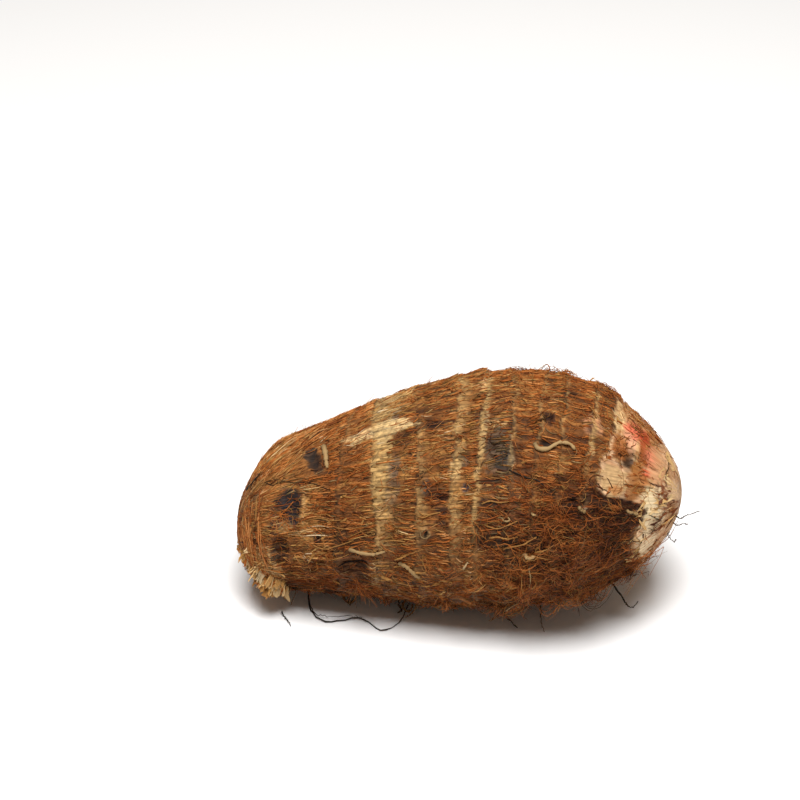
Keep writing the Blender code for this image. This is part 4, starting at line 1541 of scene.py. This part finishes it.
def add_short_hairs():
    """Short root hairs between the tufts, thickest in the mat."""
    rng = np.random.default_rng(SEED + 5)
    tries = 4 * SHORT_COUNT
    start, turn = rng.uniform(0.5, 98.0, tries), rng.uniform(0.0, 2.0 * math.pi, tries)
    tone, amount = hair_field(start, turn, rng)
    chance = (0.2 + amount) * smooth_step(0.0, 0.06, amount)
    keep = np.flatnonzero(rng.random(tries) < chance)[:SHORT_COUNT]
    start, turn, tone = start[keep], turn[keep], tone[keep]
    count = len(start)
    heading = rng.normal(0.0, 1.0, count)
    length, curl = rng.uniform(*SHORT_LENGTHS, count), rng.normal(0.0, 0.5, count)
    along, turns = crawl(rng, start, turn, heading, length, SHORT_STEPS, curl, 0.4)
    s = along_strand(SHORT_STEPS)
    lift = 0.05 + np.minimum(rng.exponential(0.45, count), 2.6)[:, None] * s**1.2
    radii = rng.uniform(*SHORT_RADII, count)[:, None] * (1.0 - 0.5 * s)
    tone = np.minimum(tone + rng.normal(0.02, 0.10, count), SHORT_LIGHTEST)
    kinds = rng.choice((RUST, KHAKI, GREY), count, p=(0.78, 0.18, 0.04))
    add_strands("short_hairs", lay(along, turns, lift), radii, tone, kinds)


add_curly_roots()
add_short_hairs()


# ---- Rootlets and stubs -----------------------------------------------------------------
# Thicker roots, dried woody: a few cream ones, cut stubs, and dark wiry ones. They grow out
# through the skin, and some of the dark ones trail on the table.

# ((along, round), ...), thickness in mm, tone, height over the skin in mm
ROOTLETS = (
    (((71, 31), (72, 33.4), (74, 33.2), (75.5, 30.8), (77, 28.8), (79, 28.8), (80.2, 31)),
      1.15, 0.7, 0.5),
    (((30, 85), (33, 87), (36, 88), (38.6, 86.5)), 0.8, 0.66, 0.3),
    (((42, 94), (44.5, 97), (46.8, 103)), 1.1, 0.6, 0.3),
    (((71, 87), (72.2, 88.6), (73.4, 88)), 0.9, 0.72, 0.7),
    (((21, 14), (21.8, 20), (22.4, 26), (23, 31.5)), 1.25, 0.68, 0.3),
    (((66, 45), (70, 48), (72.5, 49), (74.5, 52)), 0.4, 0.02, 0.3),
    (((82.6, 61.6), (83.2, 63), (83.8, 64)), 0.8, 0.66, 0.7),
    (((65.4, 68), (66.2, 69.6), (67.2, 69), (66.8, 67.6)), 0.45, 0.66, 0.3),
    (((72, 65), (73.2, 66.5)), 0.6, 0.72, 0.7),
    (((93.2, 64.6), (93.8, 66), (94.4, 66.4)), 0.8, 0.62, 0.5),
    (((94.9, 67), (95.5, 68)), 0.8, 0.66, 0.5),
    (((57.2, 96), (57.6, 94), (58.2, 92)), 0.45, 0.8, 0.5),
    (((72.3, 95), (72.7, 103), (72.4, 110)), 0.35, 0.75, 0.8),
    (((46.9, 74.5), (47.3, 77.5), (48.4, 78), (49.3, 76.4)), 0.3, 0.58, 0.1),
    (((3, 12), (2, 17), (3.5, 21), (5.5, 18), (5, 13)), 0.35, 0.06, 0.8),
    (((100.8, -6), (101.4, 10), (101, 24), (101.3, 40)), 0.28, 0.2, 0.1),
    (((93, 9), (92.8, 16), (93.4, 24), (94, 31)), 0.3, 0.62, 0.1),
    (((97.4, 41), (99, 42.4), (101, 42)), 0.26, 0.15, 0.2),
    (((97.2, 67), (98.2, 71), (99.3, 75), (100.5, 80), (101.4, 81)), 0.25, 0.12, 0.3),
    (((95.2, 92), (96.6, 95), (98.4, 99)), 0.24, 0.12, 0.2),
    (((98.4, 98), (99, 92), (100.2, 87)), 0.18, 0.24, 0.2),
    (((8, 30), (10, 34), (12, 33), (16, 37), (19, 38.5), (24.6, 47)), 0.26, 0.14, 0.1),
    (((7, 29), (11, 30.5), (13, 34), (17, 34.5), (21, 40)), 0.22, 0.24, 0.2),
    (((19, 65), (22, 64), (25, 65.6), (28, 66.4)), 0.24, 0.49, 0.5),
    (((21, 82), (24, 84.6), (27.5, 82), (31, 79.6)), 0.28, 0.47, 0.6),
    (((24.6, 94), (27.5, 91), (30, 88.5)), 0.26, 0.49, 0.5),
    (((26, 70.5), (29, 72), (33, 71.5)), 0.22, 0.46, 0.5),
    (((42, 90), (45, 87), (48, 85)), 0.26, 0.46, 0.5),
    (((60.6, 61.4), (62.4, 60), (64.6, 60.6), (67, 59.8)), 0.36, 0.5, 0.3),
    (((61.6, 72), (64, 73.6), (66.4, 72), (69, 69.4)), 0.34, 0.49, 0.4),
    (((62.8, 78.6), (65, 77.6), (67.2, 78.6), (69.4, 77.6)), 0.38, 0.5, 0.4),
    (((66.2, 84.4), (68.4, 82.8), (71, 80.4), (73.6, 77.4)), 0.4, 0.48, 0.6),
    (((73.4, 86.4), (74.8, 84.6), (76.4, 84.2)), 0.46, 0.5, 0.6),
    (((45.6, 66.6), (47.4, 67.6), (49, 66), (51.2, 65.4)), 0.34, 0.5, 0.3),
    (((46.8, 71.6), (48.6, 70.8), (50.6, 71.4)), 0.28, 0.48, 0.3),
    (((38.4, 80.6), (40.8, 79.8), (43.4, 80.8)), 0.32, 0.49, 0.3),
    (((41, 92.4), (42.6, 90), (44.2, 88.4)), 0.5, 0.5, 0.5),
)
# ((x, y, z), ...) in mm, with z from the table, thickness in mm, tone
LOOSE_ROOTS = (
    (((-36, -11, 4), (-34.5, -17.4, 0.5), (-33.2, -20.2, 0.3), (-30.1, -23.1, 0.4),
      (-26.3, -22.4, 0.4), (-21.8, -20.5, 0.6), (-18.1, -22.1, 0.3), (-15, -24.1, 0.3),
      (-11.5, -20.2, 0.5), (-10.3, -15, 2)), 0.42, 0.04),
    (((-34.2, -17.8, 0.6), (-31.8, -21.4, 0.9), (-28, -22, 1), (-24, -20.6, 0.8),
      (-20.6, -20.8, 0.9)), 0.24, 0.12),
    (((-40.4, -22, 0.9), (-39.8, -22.6, 0.3), (-39.2, -23.4, 0.3), (-37.9, -25, 0.4),
      (-37.1, -26.2, 0.3)), 0.36, 0.05),
    (((9, -8, 3), (12, -11, 0.6), (13.6, -13.9, 0.3), (16.8, -17.4, 0.3)), 0.4, 0.05),
    (((38, -6, 8), (41, -8.5, 5.4), (42.2, -9.6, 4.4), (43.6, -9.6, 4.3), (44.6, -8.4, 5.2)),
      0.42, 0.03),
    (((-10.6, -14, 3), (-11.6, -15.6, 2.2), (-10.8, -17, 1.4), (-9.6, -16.4, 1),
      (-9.4, -15.2, 2.2)), 0.75, 0.34),
    (((-12.4, -13, 3), (-12.8, -15, 1.6), (-11.8, -16.2, 0.8), (-12.6, -17, 0.5)), 0.55, 0.22),
    (((-9, -13.6, 3.4), (-8.4, -15.6, 2), (-9.2, -17.2, 0.9), (-10.4, -18.4, 0.5)), 0.45, 0.46),
    (((-26, -12.4, 3.6), (-26.6, -14.4, 1.6), (-25, -15.6, 0.6), (-23.6, -14.4, 1.2),
      (-23.4, -12.4, 3)), 0.8, 0.38),
    (((-24.8, -12.6, 3.4), (-25.2, -15, 1.8), (-24.4, -16.6, 0.5)), 0.6, 0.3),
    (((-38.6, -13.4, 4), (-38.2, -15.4, 2.2), (-38.6, -17.4, 0.9), (-38.8, -18.6, 0.4)), 0.26, 0.56),
    (((20, -5, 3), (21.5, -10, 0.4), (22, -14, 0.3), (23.1, -17.8, 0.3)), 0.3, 0.34),
    (((50, -4, 30.4), (52.4, -4.6, 28.8), (53.8, -4.6, 29.6), (55.4, -4.2, 30.2), (57, -4, 31)),
      0.36, 0.18),
    (((50.6, -4.4, 28), (52, -5, 27), (53.6, -5, 27.6), (54.8, -4.8, 27.2)), 0.34, 0.2),
    (((50, -6, 25), (51.6, -7, 23.6), (52.4, -7.2, 24.6)), 0.24, 0.2),
)
ROOT_STEPS, ROOT_SIDES, ROOT_THINNEST = 26, 8, 0.05


def smooth_path(places, steps):
    """An even, smooth path through the given places."""
    places = np.array(places)
    at = np.linspace(0.0, 1.0, len(places))
    fine = np.linspace(0.0, 1.0, steps)
    return np.stack([smooth_through(list(zip(at, column)), fine) for column in places.T], axis=1)


def add_rootlets():
    """The roots on the skin, and the loose ones whose places are from the table."""
    rng = np.random.default_rng(SEED + 6)
    points, radii, tones = [], [], []
    s = np.linspace(0.0, 1.0, ROOT_STEPS)
    for places, thickness, tone, height in ROOTLETS:
        path = smooth_path(places, ROOT_STEPS)
        waver = 0.8 + 0.2 * np.sin(9.0 * s + thickness * 7.0)
        lift = 0.3 * thickness + height * np.sin(math.pi * s) ** 0.7 * waver
        points.append(on_corm(path[:, 0], np.radians(path[:, 1]), lift))
        knobbly = 0.16 * rng.standard_normal(ROOT_STEPS)
        radii.append(0.5 * thickness * (1.0 - 0.3 * s + knobbly))
        tones.append(tone)
    for places, thickness, tone in LOOSE_ROOTS:
        path = smooth_path(places, ROOT_STEPS) + 0.10 * rng.standard_normal((ROOT_STEPS, 3))
        path[:, 2] = np.maximum(path[:, 2], 0.5 * thickness)
        points.append(path * MM + np.array((0.0, 0.0, corm_low.z)))
        knobbly = 0.12 * rng.standard_normal(ROOT_STEPS)
        radii.append(0.5 * thickness * (1.0 - 0.5 * s + knobbly))
        tones.append(tone)
    points, radii, tones = np.array(points), np.maximum(radii, ROOT_THINNEST), np.array(tones)
    kinds = np.where(tones > 0.5, GREY, KHAKI)
    add_strands("thick_rootlets", points, radii, tones, kinds, sides=ROOT_SIDES)


add_rootlets()


# ---- Bud scales -------------------------------------------------------------------------
# Papery leaf scales wrapped over the bud, cream with a pink flush. Each overlaps the next
# towards the tip, and its free edge is torn and a little lifted.

# (start, end, round from, round to, lift), in mm along and degrees round
SCALES = (
    (89.6, 104.2, -62, 46, 0.12),
    (96.4, 104.7, 40, 132, 0.16),
    (94.5, 104.4, 120, 215, 0.2),
    (91, 104.5, 205, 305, 0.3),
)
SCALE_COLUMNS, SCALE_ROWS, SCALE_THICKNESS = 36, 60, 0.22
# A point under the bud, inside the corm, which each scale's outer face looks away from.
INSIDE_BUD = Vector((0.03, 0.0, 0.0285))
# How far, in mm, a free edge bows back at its sides, is torn, and stands off.
SCALE_BOW, SCALE_TEAR, SCALE_FREE_LIFT = 2.2, 1.3, 0.25
# Veins about 0.8 mm wide, seven times as long, on paper that is 0.25 mm rough.
VEINS_PER_MM, VEIN_STRETCH, SCALE_ROUGHNESS = 1.3, 0.15, 0.25 * MM


def scale_material():
    # Thin papery leaf scale: a soft satin face with fine lengthwise veins.
    material, tree, scale = new_material("papery_scale")
    tint = add_node(tree, "ShaderNodeAttribute", {"attribute_name": "tint"})
    grain = add_node(tree, "ShaderNodeAttribute", {"attribute_name": "grain"})
    drawn_out = {"Scale": (VEIN_STRETCH, 1.0, 1.0)}
    stretch = add_node(tree, "ShaderNodeMapping", drawn_out, Vector=grain.outputs["Vector"])
    fine = {"Scale": VEINS_PER_MM, "Detail": 4.0}
    vein = add_node(tree, "ShaderNodeTexNoise", fine, Vector=stretch.outputs["Vector"])
    contrast = {"From Min": 0.3, "From Max": 0.65, "To Min": 0.66, "To Max": 1.12}
    shade = add_node(tree, "ShaderNodeMapRange", contrast, Value=vein.outputs[0])
    scaled = {"operation": "SCALE"}
    painted = add_node(
        tree, "ShaderNodeVectorMath", scaled, _0=tint.outputs["Color"], _3=shade.outputs[0]
    )
    tree.links.new(painted.outputs[0], scale.inputs["Base Color"])
    rough = {"Strength": 0.6, "Distance": SCALE_ROUGHNESS}
    bump = add_node(tree, "ShaderNodeBump", rough, Height=vein.outputs[0])
    tree.links.new(bump.outputs["Normal"], scale.inputs["Normal"])
    scale.inputs["Roughness"].default_value = 0.6
    scale.inputs["Specular IOR Level"].default_value = 0.15
    return material


def add_scales():
    """Each scale is a patch of the skin's own shape, set off it and given its thickness."""
    material = scale_material()
    for k, (start, end, round_from, round_to, lift) in enumerate(SCALES):
        mesh, column, row = grid_mesh(f"scale_{k}", SCALE_COLUMNS, SCALE_ROWS)
        u, v = column / SCALE_COLUMNS, row / SCALE_ROWS
        turn = np.radians(round_from + (round_to - round_from) * v)
        torn = noise_at(np.stack([9.0 * v, 0.0 * v, 0.0 * v + 3.0 * k], axis=1))
        torn = torn + 0.5 * noise_at(np.stack([30.0 * v, 0.0 * v, 0.0 * v + 5.0 * k], axis=1))
        bowed = start + SCALE_BOW * (2.0 * v - 1.0) ** 2 + SCALE_TEAR * torn
        along = bowed + (end - bowed) * u
        pleat = 0.14 * grain_noise(along, turn, 2.0, 0.0, 0.3)
        pleat = pleat + 0.16 * grain_noise(along, turn, 3.1)
        height = lift + SCALE_FREE_LIFT * (1.0 - u) ** 3 + pleat * (1.0 - 0.6 * u)
        mesh.vertices.foreach_set("co", on_corm(along, turn, height).astype(np.float32).ravel())
        paint(mesh, along, turn)
        bm = bmesh.new()
        bm.from_mesh(mesh)
        bmesh.ops.recalc_face_normals(bm, faces=bm.faces)
        middle = bm.faces[:][len(bm.faces) // 2]
        if middle.normal.dot(middle.calc_center_median() - INSIDE_BUD) < 0.0:
            bmesh.ops.reverse_faces(bm, faces=bm.faces)
        bmesh.ops.solidify(bm, geom=bm.faces[:], thickness=SCALE_THICKNESS * MM)
        for face in bm.faces:
            face.smooth = True
        bm.to_mesh(mesh)
        bm.free()
        mesh.materials.append(material)
        piece = add_piece(f"bud_scale_{k + 1}", mesh)
        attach(piece, "root")


add_scales()
